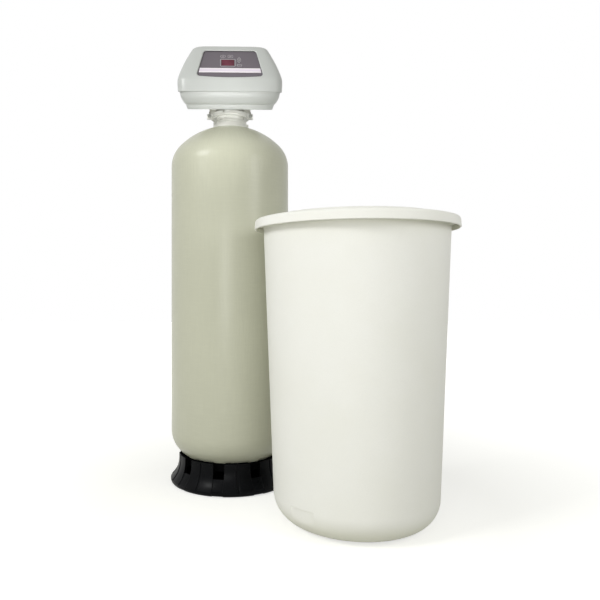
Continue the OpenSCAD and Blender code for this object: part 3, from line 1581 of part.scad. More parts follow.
// Overflow hose fitting through the tank's wall
module overflow_elbow() {
    bore = overflow_bore_d;
    tube = bore + 2 * overflow_wall;
    inside = 10;
    nut_t = 6;
    leg_at = brine_wall + overflow_leg_x;
    color([0.2, 0.22, 0.25])
    on_wall(overflow_turn, overflow_z, brine_wall) difference() {
        union() {
            translate([-inside, 0, 0]) rotate([0, 90, 0]) cylinder(d = tube, h = inside + leg_at);
            translate([brine_wall + seat_gap, 0, 0]) rotate([0, 90, 0]) cylinder(d = bore + 16, h = 4);
            translate([-nut_t - seat_gap - 1, 0, 0]) rotate([0, 90, 0])
                cylinder(d = bore + 14, h = nut_t, $fn = 6);
            translate([leg_at, 0, 0]) sphere(d = tube + 2);
            translate([leg_at, 0, -overflow_leg_l]) cylinder(d = tube, h = overflow_leg_l);
            translate([leg_at, 0, overflow_hose_l - overflow_leg_l])
                cylinder(d = tube + overflow_stop[0], h = overflow_stop[1]);
        }
        translate([-inside - over, 0, 0]) rotate([0, 90, 0]) cylinder(d = bore, h = inside + leg_at + over);
        translate([leg_at, 0, -overflow_leg_l - over]) cylinder(d = bore, h = overflow_leg_l + over);
    }
}

// Everything on the resin tank's axis
module at_resin() {
    translate(resin_at) children();
}

// Everything on the brine tank's axis
module at_brine() {
    translate(brine_at) children();
}

at_resin() tank_base();
at_resin() resin_tank();
at_resin() neck_collar();
at_resin() gravel_bed();
at_resin() resin_bed();
at_resin() riser_tube();
at_resin() lower_strainer();
at_resin() upper_strainer();
at_resin() tank_adapter();
at_resin() neck_seal();
at_resin() riser_seal();
at_resin() clamp_front();
at_resin() clamp_rear();
at_resin() clamp_bolts();
at_resin() valve_body();
at_resin() top_plate();
at_resin() bearing_caps();
at_resin() plate_screws();
at_resin() camshaft();
at_resin() cam_gear();
at_resin() gear_motor();
at_resin() motor_pinion();
at_resin() flapper_pin();
for (i = [1:flappers])
    at_resin() flapper(i);
at_resin() valve_spring();
at_resin() injector_cap();
at_resin() position_sensor();
at_resin() inlet_union();
at_resin() outlet_union();
at_resin() meter_axle();
at_resin() meter_turbine();
at_resin() drain_fitting();
at_resin() brine_fitting();
at_resin() lower_tray();
at_resin() cord_grommet();
at_resin() upper_cover();
at_resin() panel_bracket();
at_resin() control_board();
at_resin() faceplate();
at_resin() display_window();
at_resin() accent_strip();
at_resin() up_button();
at_resin() down_button();
at_resin() set_button();
at_brine() brine_tank();
at_brine() brine_lid();
at_brine() brine_well();
at_brine() well_cap();
at_brine() salt_grid();
at_brine() grid_legs();
at_brine() safety_valve();
at_brine() pickup_tube();
at_brine() float_rod();
at_brine() float();
at_brine() overflow_elbow();
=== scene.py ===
"""Studio scene of a two-tank water softener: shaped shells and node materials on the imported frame."""
import json
import math

import bmesh
import bpy
from mathutils import Matrix, Vector


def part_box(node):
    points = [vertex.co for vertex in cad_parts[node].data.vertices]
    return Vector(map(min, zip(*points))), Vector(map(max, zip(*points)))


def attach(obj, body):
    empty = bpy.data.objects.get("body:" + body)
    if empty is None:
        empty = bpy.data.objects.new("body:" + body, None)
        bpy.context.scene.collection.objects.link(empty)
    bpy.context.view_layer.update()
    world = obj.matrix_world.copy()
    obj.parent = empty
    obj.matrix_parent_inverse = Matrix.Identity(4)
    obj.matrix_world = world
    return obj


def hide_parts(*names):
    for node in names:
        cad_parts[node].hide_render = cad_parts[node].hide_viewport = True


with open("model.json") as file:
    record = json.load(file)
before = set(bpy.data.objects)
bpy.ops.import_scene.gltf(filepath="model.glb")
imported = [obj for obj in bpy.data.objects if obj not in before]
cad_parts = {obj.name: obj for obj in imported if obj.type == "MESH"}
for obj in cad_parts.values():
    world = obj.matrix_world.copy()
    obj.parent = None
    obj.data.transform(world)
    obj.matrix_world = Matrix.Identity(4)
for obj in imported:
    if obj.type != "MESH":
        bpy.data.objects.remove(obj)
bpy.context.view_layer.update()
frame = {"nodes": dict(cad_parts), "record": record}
SCENE = bpy.context.scene
MM = 0.001


def floor_point(node):
    """Point on the floor under the middle of a CAD node."""
    low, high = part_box(node)
    return Vector(((low.x + high.x) / 2, (low.y + high.y) / 2, 0))


TANK_AT = floor_point("resin_tank")
BRINE_AT = floor_point("brine_lid")
TANK_FRAME = Matrix.Translation(TANK_AT)
BRINE_FRAME = Matrix.Translation(BRINE_AT)
TO_METRES = Matrix.Scale(MM, 4)

# Resin tank and its base, in millimetres
TANK_R = 168
TANK_WALL = 5
LOW_TANGENT = 150
HIGH_TANGENT = 900
DOME_H = 117
KNUCKLE_R = 80
NECK_HOLE_R = 40.3
NECK_TOP = 1031
NECK_H = 24
NECK_R = 48
NECK_BORE_R = 32.5
NECK_GROOVE = 0.8
NECK_CHAMFER = 1.5
ADAPTER_R = 40
ADAPTER_RIM_R = 44
ADAPTER_TOP = 1048.4
ADAPTER_BORE_R = 25
SPIGOT_R = 32.2
SPIGOT_FOOT = 1005
BASE_TOP = 82
BASE_TOP_R = 146
BASE_FOOT_R = 170
BASE_WALL = 9
BASE_EDGE = 0.8
BASE_BEVEL = 0.9
BEAD_R = 9
BEAD_AT = BASE_FOOT_R - BEAD_R
FLARE_R = 80
FLARE_TOP = 70
HOLLOW_R = 152
HOLLOW_FLOOR = 5
GIRTH_R = 158
WINDOWS = 9
WINDOW_TURN = -12
WINDOW_HALF = 15
WINDOW_MID = 8
WINDOW_SILL = 42
WINDOW_FOOT = 3
GROOVE_HALF = 4
RECESS = 2.5
RECESS_FOOT = 12
RECESS_EDGE = 0.7
SEAT_R = 130.6
SEAT_IN_R = 98.5
SEAT_FOOT = 58
SEAT_WALL_FOOT = 56

# Brine tank and lid, in millimetres
BRINE_H = 710
BRINE_TOP_R = 220
BRINE_FOOT_R = 193
BRINE_WALL = 5
BRINE_CORNER_R = 68
RIM_W = 12
RIM_H = 9
LID_R = 241
LID_FOOT = 690.8
LID_TOP = 714.3
LID_CROWN = 8
LID_CROWN_R = 190
LID_STEP_W = 16
LID_EDGE_R = 7
LID_LIP = 1.2
LID_WALL = 4
LID_RING_R = 205
LID_RING_FOOT = 701.3
POLE_R = 0.05
FLAT_TURN = -138
FLAT_HALF_TURN = 9.7
FLAT_TOP = 68
FLAT_DEPTH = 3.4
FLAT_LEAN = 8
FLAT_EDGE = 0.98
FLAT_SHARES = (-1.04, -1, -0.97, -0.66, -0.33, 0, 0.33, 0.66, 0.97, 1, 1.04)

# Head housing, in millimetres: height at the front, rise to the rear, half width, front reach, rear reach
TRAY_STATIONS = [
    (1046, 0.29, 120, 85, 96),
    (1056, 0.29, 123.75, 91, 98),
    (1058, 0.29, 127.5, 97, 100),
    (1071, 0.29, 136.5, 108.75, 103),
    (1084, 0.29, 139.5, 116.5, 104),
    (1092, 0.29, 139.5, 116.5, 104),
]
COVER_STATIONS = [
    (1084, 0.29, 144.5, 120, 108),
    (1108, 0.2378, 145.5, 121, 109),
    (1128, 0.2001, 143.5, 118, 107),
    (1170, 0.1276, 130.5, 97.5, 100),
    (1212, 0.029, 112, 77, 86),
    (1224.4, 0, 104, 69, 78.5),
    (1230, 0, 91, 58, 68),
    (1231.4, 0, 82, 50, 60),
]
PLAN_POWER = 8
SHELL_WALL = 2.6
SHELL_EDGE = 0.7
HEAD_CREASE = 32
COVER_MID_Y = 5
COVER_CROWN = 0.5
# Panel opening: margin round the panel and depth from its plane
OPENING_STEPS = ((0, -20), (0, -2.3), (2.7, 0.4), (2.7, 20))
TRAY_HOLE_R = 53
TRAY_HOLE_TOP = 1116
# Rear gap and valve bay of the tray: half width, near edge, far edge, top
TRAY_BAYS = ((70, 51, 208, 1232), (102, 2.6, 51.2, 1121))
LEAD_HOLE_R = 6.3
LEAD_HOLE_X = -88
LEAD_HOLE_Z = 1122.1
LEAD_HOLE_REACH = (45, 208)

# Front panel, in millimetres on its own plane: along x, up the slope, out of the face
PANEL_RUN = 41
PANEL_RISE = 84
PANEL_TILT = math.atan2(PANEL_RUN, PANEL_RISE)
PANEL_L = math.hypot(PANEL_RUN, PANEL_RISE)
PANEL_FOOT_HALF = 89
PANEL_HEAD_HALF = 73.5
PANEL_CORNER = 9
PANEL_BOW = 4
PANEL_Y = -97.5
PANEL_Z = 1170
FACE_N = -4.834
KEY_TOP = FACE_N + 0.8
# Strip bands: low edge, high edge, height over the face
STRIP_BANDS = ((-31.4, -27.4, 1.2), (-27.4, -20, 1.0), (-20, -16, 1.2))
STRIP_INSET = 1.2
LILAC_LOW = -27.6
LILAC_HIGH = -19.8
# Printed frames on the faceplate: centre, width, height, corner radius, line width
FACE_PRINTS = (
    ((-6, 5), 42, 27, 2.4, 1.2),
    ((-19.5, 28.5), 14.5, 9.5, 4.4, 0.7),
    ((-19.5, 28.5), 6, 3.6, 1.7, 0.6),
    ((1, 28.5), 14.5, 9.5, 2.6, 0.7),
    ((1, 28.5), 7, 2.6, 1.2, 0.6),
)
UP_MARK = [(18.6, 16.3), (31.4, 16.3), (25, 25.2)]
DOWN_MARK = [(18.6, 12.7), (25, 3.8), (31.4, 12.7)]
SET_MARK = ((26, -5.5), 13.4, 6.9, 1.6)
KEY_LINE = 0.9
PRINT_GAP = 0.02
PRINT_H = 0.3
UP_SLOPE = Vector((0, math.sin(PANEL_TILT), math.cos(PANEL_TILT)))
OUTWARD = Vector((0, -math.cos(PANEL_TILT), math.sin(PANEL_TILT)))
PANEL = Matrix((
    (1, 0, 0, 0),
    (0, UP_SLOPE.y, OUTWARD.y, PANEL_Y),
    (0, UP_SLOPE.z, OUTWARD.z, PANEL_Z),
    (0, 0, 0, 1),
))
HEAD_PANEL = TANK_FRAME @ TO_METRES @ PANEL @ Matrix.Scale(1 / MM, 4)

# Floor, surrounding light, lamps and camera, in metres
FLOOR_HALF = 9
FLOOR_COLOUR = (0.6, 0.6, 0.56, 1)
FLOOR_GLOW = 0.6
FLOOR_NEAR = 0.5
FLOOR_FAR = 1.6
PLAIN_WHITE = (1, 1, 1, 1)
FILL_COLOUR = (1, 1, 0.91, 1)
FILL_FRONT = 0.46
FILL_BACK = 0.2
# Lamps: name, place, aim, size, watts, spread in degrees
LAMPS = (
    ("key", (-2.2, -1.4, 2.1), (0, 0, 0.75), 0.8, 37, 180),
    ("side", (1.05, -1, 1.1), (0.1, -0.1, 0.45), 0.5, 4.2, 180),
    ("front", (-0.5, -1.95, 0.6), (-0.1, 0.1, 0.7), 0.6, 8, 180),
    ("neck", (-0.3, -1.3, 0.1), (-0.185, 0.15, 1.1), 0.2, 0.06, 8),
)
FRAME_PIXELS = 600
SHIFT_PIXELS = (52.7, -10)
LENS = 37.2
SENSOR = 36
CAMERA_FROM_TANK = Vector((0, -1.798, 0.547))
CAMERA_YAW = -1.6


def linear(red, green, blue):
    """Linear colour from 0 to 255 display values."""
    def one(value):
        value /= 255
        return value / 12.92 if value <= 0.04045 else ((value + 0.055) / 1.055) ** 2.4

    return (one(red), one(green), one(blue), 1)


def shade(colour, share):
    """The colour made lighter or darker by a share."""
    return tuple(min(1, part * share) for part in colour[:3]) + (1,)


class Wiring:
    """Short calls that add and link the nodes of one tree."""

    def __init__(self, tree):
        self.nodes = tree.nodes
        self.links = tree.links

    def add(self, kind, **settings):
        """A new node with its settings."""
        node = self.nodes.new("ShaderNode" + kind)
        for name, value in settings.items():
            setattr(node, name, value)
        return node

    def feed(self, source, target):
        """Links an output, or sets a plain value."""
        if isinstance(source, bpy.types.NodeSocket):
            self.links.new(source, target)
        else:
            target.default_value = source

    def place(self, origin=(0, 0, 0)):
        """Row frame position in metres, measured from an origin."""
        where = self.add("TexCoord").outputs["Object"]
        return self.stretch(where, (1, 1, 1), tuple(-part for part in origin))

    def math(self, operation, first, second=0.0):
        """Result of one sum."""
        node = self.add("Math", operation=operation)
        self.feed(first, node.inputs[0])
        self.feed(second, node.inputs[1])
        return node.outputs[0]

    def wrap(self, centre, radius):
        """Position rolled out round an upright axis: metres along, metres up."""
        split = self.add("SeparateXYZ")
        self.links.new(self.place(origin=centre), split.inputs[0])
        turn = self.math("ARCTAN2", split.outputs[1], split.outputs[0])
        join = self.add("CombineXYZ")
        self.links.new(self.math("MULTIPLY", turn, radius), join.inputs[0])
        self.links.new(split.outputs[2], join.inputs[1])
        return join.outputs[0]

    def stretch(self, where, scale, shift=(0, 0, 0)):
        """Position stretched along each axis, then moved."""
        mapping = self.add("Mapping", vector_type="POINT")
        self.links.new(where, mapping.inputs["Vector"])
        mapping.inputs["Location"].default_value = shift
        mapping.inputs["Scale"].default_value = scale
        return mapping.outputs["Vector"]

    def noise(self, where, scale, detail=2.0, rough=0.5):
        """Smooth noise from 0 to 1."""
        node = self.add("TexNoise")
        self.links.new(where, node.inputs["Vector"])
        node.inputs["Scale"].default_value = scale
        node.inputs["Detail"].default_value = detail
        node.inputs["Roughness"].default_value = rough
        return node.outputs["Fac"]

    def cells(self, where, scale, output="Distance"):
        """Cell pattern."""
        node = self.add("TexVoronoi")
        self.links.new(where, node.inputs["Vector"])
        node.inputs["Scale"].default_value = scale
        return node.outputs[output]

    def span(self, value, low, high, start=0.3, stop=0.7):
        """Maps a pattern's middle range to low and high."""
        node = self.add("MapRange")
        self.links.new(value, node.inputs["Value"])
        node.inputs["From Min"].default_value = start
        node.inputs["From Max"].default_value = stop
        node.inputs["To Min"].default_value = low
        node.inputs["To Max"].default_value = high
        return node.outputs["Result"]

    def mix(self, factor, first, second):
        """Colour between two colours."""
        node = self.add("Mix", data_type="RGBA")
        self.feed(factor, node.inputs[0])
        self.feed(first, node.inputs[6])
        self.feed(second, node.inputs[7])
        return node.outputs[2]

    def seen_rays(self):
        """1 for rays that show the surroundings, directly, in gloss or through glass."""
        path = self.add("LightPath")
        seen = self.math("MAXIMUM", path.outputs["Is Camera Ray"], path.outputs["Is Glossy Ray"])
        return self.math("MAXIMUM", seen, path.outputs["Is Transmission Ray"])


class Recipe(Wiring):
    """One node material round its shader."""

    def __init__(self, name, **sockets):
        self.material = bpy.data.materials.new(name)
        self.material.use_nodes = True
        super().__init__(self.material.node_tree)
        self.shader = self.nodes["Principled BSDF"]
        for socket, value in sockets.items():
            self.shader.inputs[socket.replace("_", " ")].default_value = value

    def paint(self, colour):
        """Feeds the base colour."""
        self.links.new(colour, self.shader.inputs["Base Color"])

    def gloss(self, value):
        """Feeds the roughness."""
        self.links.new(value, self.shader.inputs["Roughness"])

    def relief(self, *layers):
        """Bump from (height, strength, metres) layers."""
        normal = None
        for height, strength, depth in layers:
            node = self.add("Bump")
            self.links.new(height, node.inputs["Height"])
            node.inputs["Strength"].default_value = strength
            node.inputs["Distance"].default_value = depth
            if normal:
                self.links.new(normal, node.inputs["Normal"])
            normal = node.outputs["Normal"]
        self.links.new(normal, self.shader.inputs["Normal"])


def moulded(name, colour, rough, drift=0.05, grain=700, depth=0.15, **sockets):
    """Moulded plastic: drifting colour, fine grain and uneven gloss."""
    mat = Recipe(name, **sockets)
    where = mat.place()
    cloud = mat.noise(where, 9, 4)
    fine = mat.noise(where, grain, 3, 0.6)
    tone = mat.mix(mat.span(cloud, 0, 1), shade(colour, 1 - drift), shade(colour, 1 + drift))
    mat.paint(mat.mix(mat.span(fine, 0, 0.35), tone, shade(colour, 1 - 1.6 * drift)))
    mat.gloss(mat.span(mat.noise(where, 26, 3), rough - 0.06, rough + 0.06))
    mat.relief((fine, depth, 0.0004), (mat.noise(where, 55, 2), 0.05, 0.001))
    return mat.material


def fibreglass(name):
    """Wound glass fibre under satin paint: upright strands, crossing winds and small pits."""
    mat = Recipe(name, Specular_IOR_Level=0.2, Coat_Weight=0.3, Coat_Roughness=0.2)
    sheet = mat.wrap(TANK_AT, TANK_R * MM)
    strands = mat.noise(mat.stretch(sheet, (260, 14, 1)), 1, 4, 0.6)
    winds = mat.noise(mat.stretch(sheet, (24, 190, 1)), 1, 3, 0.6)
    pits = mat.noise(mat.stretch(sheet, (420, 210, 1)), 1, 3, 0.7)
    cloud = mat.noise(mat.place(), 5, 3)
    colour = linear(197, 198, 179)
    tone = mat.mix(mat.span(cloud, 0, 1), shade(colour, 0.96), shade(colour, 1.03))
    tone = mat.mix(mat.span(strands, 0, 0.5), tone, shade(colour, 0.93))
    mat.paint(mat.mix(mat.span(winds, 0, 0.3, 0.45, 0.7), tone, shade(colour, 1.05)))
    mat.gloss(mat.span(strands, 0.34, 0.54))
    ripple = mat.noise(mat.stretch(sheet, (120, 17, 1)), 1, 3, 0.65)
    mat.relief((strands, 0.3, 0.0008), (winds, 0.12, 0.0006), (pits, 0.22, 0.0004), (ripple, 0.35, 0.0012))
    mat.links.new(mat.shader.inputs["Normal"].links[0].from_socket, mat.shader.inputs["Coat Normal"])
    return mat.material


def gloss_black(name):
    """Black moulded base: mirror-like skin with a light orange peel."""
    mat = Recipe(name, Specular_IOR_Level=0.06)
    where = mat.place()
    colour = linear(11, 12, 14)
    cloud = mat.noise(where, 14, 4)
    peel = mat.noise(where, 160, 2)
    mat.paint(mat.mix(mat.span(cloud, 0, 1), shade(colour, 0.8), shade(colour, 1.15)))
    mat.gloss(mat.span(mat.noise(where, 40, 4), 0.26, 0.38))
    mat.relief((peel, 0.08, 0.0006))
    return mat.material


def rotomoulded(name, colour):
    """Thick matt polyethylene: mottled tone with a fine pebble grain, and olive shade painted into creases
    and under overhangs by ambient occlusion.
    """
    mat = Recipe(name, Specular_IOR_Level=0.3)
    where = mat.place()
    cloud = mat.noise(where, 6, 5, 0.6)
    pebble = mat.noise(where, 520, 3, 0.6)
    olive_mottle_and_shade = tuple(part * share for part, share in zip(colour, (0.9, 0.9, 0.82, 1)))
    tone = mat.mix(mat.span(cloud, 0, 0.3), shade(colour, 1.02), olive_mottle_and_shade)
    tone = mat.mix(mat.span(pebble, 0, 0.5), tone, shade(colour, 0.94))
    # Painted shade: where ambient occlusion finds a crease or an overhang, as under the rim and the lid, the
    # colour turns olive
    crease = mat.add("AmbientOcclusion", samples=8)
    crease.inputs["Distance"].default_value = 0.07
    mat.paint(mat.mix(mat.span(crease.outputs["AO"], 0.9, 0, 0.35, 0.95), tone, olive_mottle_and_shade))
    mat.gloss(mat.span(mat.noise(where, 120, 3), 0.46, 0.62))
    mat.relief((pebble, 0.2, 0.0005), (mat.noise(where, 38, 2), 0.06, 0.0012))
    return mat.material


def brushed_steel(name):
    """Zinc-plated steel with fine turning marks."""
    mat = Recipe(name, Metallic=1.0)
    where = mat.place()
    lines = mat.noise(mat.stretch(where, (40, 1200, 1200)), 1, 3, 0.6)
    colour = linear(196, 196, 192)
    mat.paint(mat.mix(mat.span(lines, 0, 1), shade(colour, 0.85), colour))
    mat.gloss(mat.span(lines, 0.22, 0.42))
    mat.relief((lines, 0.12, 0.0002))
    return mat.material


def grains(name, colours, size, rough):
    """Loose grains of two tones, each one a raised cell, with shade painted darker towards each grain's
    edge.
    """
    mat = Recipe(name)
    where = mat.place()
    round_cell = mat.cells(where, 1 / size)
    tint = mat.add("SeparateColor")
    mat.links.new(mat.cells(where, 1 / size, "Color"), tint.inputs[0])
    tone = mat.mix(tint.outputs[0], colours[0], colours[1])
    # Painted shade: each grain darkens towards its edge, where the gaps between grains would be in shade
    mat.paint(mat.mix(mat.span(round_cell, 0, 0.7, 0.2, 0.8), tone, shade(colours[0], 0.4)))
    mat.gloss(mat.span(round_cell, rough, rough + 0.2, 0, 0.8))
    mat.relief((mat.math("SUBTRACT", 1.0, round_cell), 0.8, size))
    return mat.material


def circuit_board(name):
    """Green board with pale copper runs and a grid of pads."""
    mat = Recipe(name, Specular_IOR_Level=0.5)
    flat = mat.place()
    runs = mat.cells(mat.stretch(flat, (160, 160, 160)), 1.0)
    pads = mat.cells(mat.stretch(flat, (400, 400, 400)), 1.0)
    green = linear(38, 104, 62)
    tone = mat.mix(mat.span(runs, 0, 1, 0.42, 0.5), green, shade(green, 1.5))
    mat.paint(mat.mix(mat.span(pads, 1, 0, 0.1, 0.16), tone, linear(190, 170, 110)))
    mat.gloss(mat.span(mat.noise(flat, 60, 2), 0.28, 0.4))
    mat.relief((runs, 0.15, 0.0003))
    return mat.material


def lit_display(name):
    """Dark red window with a faint glow painted into its colour as soft lighter and darker patches."""
    mat = Recipe(name, Specular_IOR_Level=0.2)
    where = mat.place()
    # Painted glow: a soft noise lightens and darkens the red in place of light behind the window; it also
    # varies the roughness
    glow = mat.noise(where, 60, 2)
    mesh = mat.noise(where, 1500, 1)
    colour = linear(112, 54, 70)
    tone = mat.mix(mat.span(glow, 0, 1), shade(colour, 0.7), shade(colour, 1.15))
    mat.paint(mat.mix(mat.span(mesh, 0, 0.3), tone, shade(colour, 0.6)))
    mat.gloss(mat.span(glow, 0.16, 0.26))
    mat.relief((mesh, 0.04, 0.0002))
    return mat.material


GREY = linear(193, 196, 194)
WHITE = linear(241, 241, 236)
MATERIALS = {
    "base_black": gloss_black("base_black"),
    "fibreglass": fibreglass("fibreglass"),
    "neck_white": moulded("neck_white", WHITE, 0.38),
    "valve_plastic": moulded("valve_plastic", linear(226, 225, 216), 0.45),
    "gravel": grains("gravel", (linear(150, 138, 118), linear(196, 188, 170)), 0.004, 0.6),
    "resin_beads": grains("resin_beads", (linear(176, 112, 30), linear(214, 158, 66)), 0.0012, 0.25),
    "pipe_plastic": moulded("pipe_plastic", linear(229, 229, 224), 0.4),
    "rubber": moulded("rubber", linear(36, 36, 37), 0.72, drift=0.12),
    "steel": brushed_steel("steel"),
    "dark_plastic": moulded("dark_plastic", linear(58, 61, 66), 0.48, drift=0.08),
    "gear_plastic": moulded("gear_plastic", linear(232, 226, 206), 0.36),
    "motor_case": moulded("motor_case", linear(120, 124, 128), 0.34, Metallic=0.85),
    "turbine_blue": moulded("turbine_blue", linear(60, 120, 176), 0.35),
    "head_grey": moulded("head_grey", GREY, 0.34, drift=0.03, grain=1100, depth=0.1,
                         Specular_IOR_Level=0.4),
    "panel_violet": moulded("panel_violet", linear(108, 102, 109), 0.45, drift=0.06,
                            Specular_IOR_Level=0.25),
    "key_violet": moulded("key_violet", linear(114, 109, 115), 0.46, drift=0.06,
                          Specular_IOR_Level=0.25),
    "print_grey": moulded("print_grey", linear(186, 182, 185), 0.5),
    "strip_white": moulded("strip_white", linear(238, 232, 238), 0.36, drift=0.03),
    "display_red": lit_display("display_red"),
    "board_green": circuit_board("board_green"),
    "brine_white": rotomoulded("brine_white", linear(243, 243, 239)),
    "well_white": moulded("well_white", linear(232, 232, 228), 0.5),
}


def arc(centre, radius, start, stop, steps):
    """Points of an arc, from start to stop in degrees."""
    points = []
    for step in range(steps + 1):
        turn = math.radians(start + (stop - start) * step / steps)
        points.append((centre[0] + radius * math.cos(turn), centre[1] + radius * math.sin(turn)))
    return points


def turned(profile, count=192):
    """Rings of points from a (radius, height) profile."""
    turns = [2 * math.pi * step / count for step in range(count)]
    return [[Vector((r * math.cos(t), r * math.sin(t), z)) for t in turns] for r, z in profile]


def skin(bm, rings, joined=False):
    """Quads between rings of equal length. Joined rings close on the first, others get end caps."""
    rows = [[bm.verts.new(point) for point in ring] for ring in rings]
    pairs = list(zip(rows, rows[1:]))
    if joined:
        pairs.append((rows[-1], rows[0]))
    for low, high in pairs:
        for first in range(len(low)):
            second = (first + 1) % len(low)
            bm.faces.new((low[first], low[second], high[second], high[first]))
    if not joined:
        bm.faces.new(rows[0][::-1])
        bm.faces.new(rows[-1])
    return bm


def smooth(obj, crease):
    """Smooth shading with sharp edges above an angle in degrees."""
    obj.data.shade_smooth()
    obj.data.set_sharp_from_angle(angle=math.radians(crease))


def solid(name, bm, placed):
    """Object from a closed mesh in millimetres, placed in the row frame."""
    bmesh.ops.recalc_face_normals(bm, faces=bm.faces)
    mesh = bpy.data.meshes.new(name)
    bm.to_mesh(mesh)
    bm.free()
    mesh.transform(placed @ TO_METRES)
    obj = bpy.data.objects.new(name, mesh)
    SCENE.collection.objects.link(obj)
    return obj


def piece(name, bm, slot, body, placed, nodes=(), crease=38):
    """Visible piece with its material, riding on a body and standing for CAD nodes."""
    obj = solid(name, bm, placed)
    obj.data.materials.append(MATERIALS[slot])
    smooth(obj, crease)
    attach(obj, body)
    if nodes:
        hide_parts(*nodes)
    return obj


def cut(obj, bm, placed, crease):
    """Takes a closed mesh in millimetres away from an object."""
    cutter = solid("cutter", bm, placed)
    modifier = obj.modifiers.new("cut", "BOOLEAN")
    modifier.operation = "DIFFERENCE"
    modifier.solver = "EXACT"
    modifier.object = cutter
    bpy.context.view_layer.update()
    graph = bpy.context.evaluated_depsgraph_get()
    result = bpy.data.meshes.new_from_object(obj.evaluated_get(graph))
    obj.modifiers.remove(modifier)
    bpy.data.objects.remove(cutter)
    obj.data = result
    smooth(obj, crease)


def prism(outline, low, high):
    """Closed prism over a flat outline."""
    rings = [[Vector((x, y, z)) for x, y in outline] for z in (low, high)]
    return skin(bmesh.new(), rings)


def rounded(centre, width, height, radius):
    """Rounded rectangle, walked with its inside on the left."""
    x, y = centre
    a, b = width / 2 - radius, height / 2 - radius
    points = []
    for corner, start in (((a, -b), -90), ((a, b), 0), ((-a, b), 90), ((-a, -b), 180)):
        points += arc((x + corner[0], y + corner[1]), radius, start, start + 90, 6)
    return points


def dome_arcs(grow):
    """Half profile of one dome from its edge to its pole, as (radius, height above the tangent)."""
    inset = TANK_R - KNUCKLE_R
    crown_r = (inset ** 2 + DOME_H ** 2 - KNUCKLE_R ** 2) / (2 * (DOME_H - KNUCKLE_R))
    reach = crown_r - DOME_H
    meet = math.degrees(math.atan2(reach, inset))
    knuckle = arc((inset, 0), KNUCKLE_R + grow, 0, meet, 14)
    crown = arc((0, -reach), crown_r + grow, meet, 89.5, 28)
    return knuckle + crown[1:]


def make_tank():
    """Fibreglass tank with a wall and an open neck."""
    def half(grow):
        dome = dome_arcs(grow)
        foot = [(r, LOW_TANGENT - z) for r, z in reversed(dome)]
        rise = (HIGH_TANGENT - LOW_TANGENT) / 12
        side = [(TANK_R + grow, LOW_TANGENT + rise * step) for step in range(1, 12)]
        head = [(r, HIGH_TANGENT + z) for r, z in dome if r > NECK_HOLE_R]
        return foot + side + head + [(NECK_HOLE_R, head[-1][1] + 0.4)]

    bm = skin(bmesh.new(), turned(half(0) + half(-TANK_WALL)[::-1]))
    piece("tank_shell", bm, "fibreglass", "frame", TANK_FRAME, ("resin_tank",), 60)


def make_collar():
    """Neck collar and the adapter above it, both turned with small chamfers."""
    low = NECK_TOP - NECK_H
    waist = NECK_R - NECK_GROOVE
    collar = [(NECK_BORE_R, low), (NECK_R - NECK_CHAMFER, low), (NECK_R, low + NECK_CHAMFER)]
    collar += [(NECK_R, NECK_TOP - 8), (waist, NECK_TOP - 7), (waist, NECK_TOP - 6), (NECK_R, NECK_TOP - 5)]
    collar += [(NECK_R, NECK_TOP - NECK_CHAMFER), (NECK_R - NECK_CHAMFER, NECK_TOP)]
    collar.append((NECK_BORE_R, NECK_TOP))
    bm = skin(bmesh.new(), turned(collar), True)
    lug = rounded((NECK_R + 1, 0), 9, 13, 2.5)
    skin(bm, [[Vector((x, y, z)) for x, y in lug] for z in (low + 3, low + 18)])
    piece("neck_ring", bm, "neck_white", "frame", TANK_FRAME, ("neck_collar",), 30)

    foot = NECK_TOP + 0.05
    eased = ADAPTER_RIM_R - 0.8
    adapter = [(SPIGOT_R, foot), (ADAPTER_R - 1, foot), (ADAPTER_R, foot + 1)]
    adapter += [(ADAPTER_R, ADAPTER_TOP - 4.8), (eased, ADAPTER_TOP - 3.4)]
    adapter += [(ADAPTER_RIM_R, ADAPTER_TOP - 2.6), (ADAPTER_RIM_R, ADAPTER_TOP - 0.8)]
    adapter += [(eased, ADAPTER_TOP), (ADAPTER_BORE_R, ADAPTER_TOP)]
    adapter += [(ADAPTER_BORE_R, SPIGOT_FOOT), (SPIGOT_R, SPIGOT_FOOT)]
    bm = skin(bmesh.new(), turned(adapter), True)
    piece("adapter_ring", bm, "neck_white", "frame", TANK_FRAME, ("tank_adapter",), 30)


def base_radius(z):
    """Outer radius of the tank base at a height: a bead at the foot, then a hollow flare."""
    if z < BEAD_R:
        return BEAD_AT + math.sqrt(max(0, BEAD_R ** 2 - (BEAD_R - z) ** 2))
    flare = BASE_TOP_R
    if z < FLARE_TOP:
        flare = BASE_TOP_R + FLARE_R - math.sqrt(FLARE_R ** 2 - (FLARE_TOP - z) ** 2)
    return min(BASE_FOOT_R, flare)


def base_rows():
    """Heights of the base's rings, closer at the bead and at the edges of the recesses."""
    bead = [z for _, z in arc((BEAD_AT, BEAD_R), BEAD_R, -80, 0, 7)]
    panel_h = WINDOW_SILL - RECESS_FOOT - RECESS_EDGE
    rows = [0] + bead + [10.5, RECESS_FOOT, RECESS_FOOT + RECESS_EDGE]
    rows += [RECESS_FOOT + RECESS_EDGE + panel_h * step / 9 for step in range(1, 10)]
    rows += [WINDOW_SILL + (FLARE_TOP - WINDOW_SILL) * step / 8 for step in range(1, 9)]
    return rows + [76, BASE_TOP - BASE_EDGE, BASE_TOP]


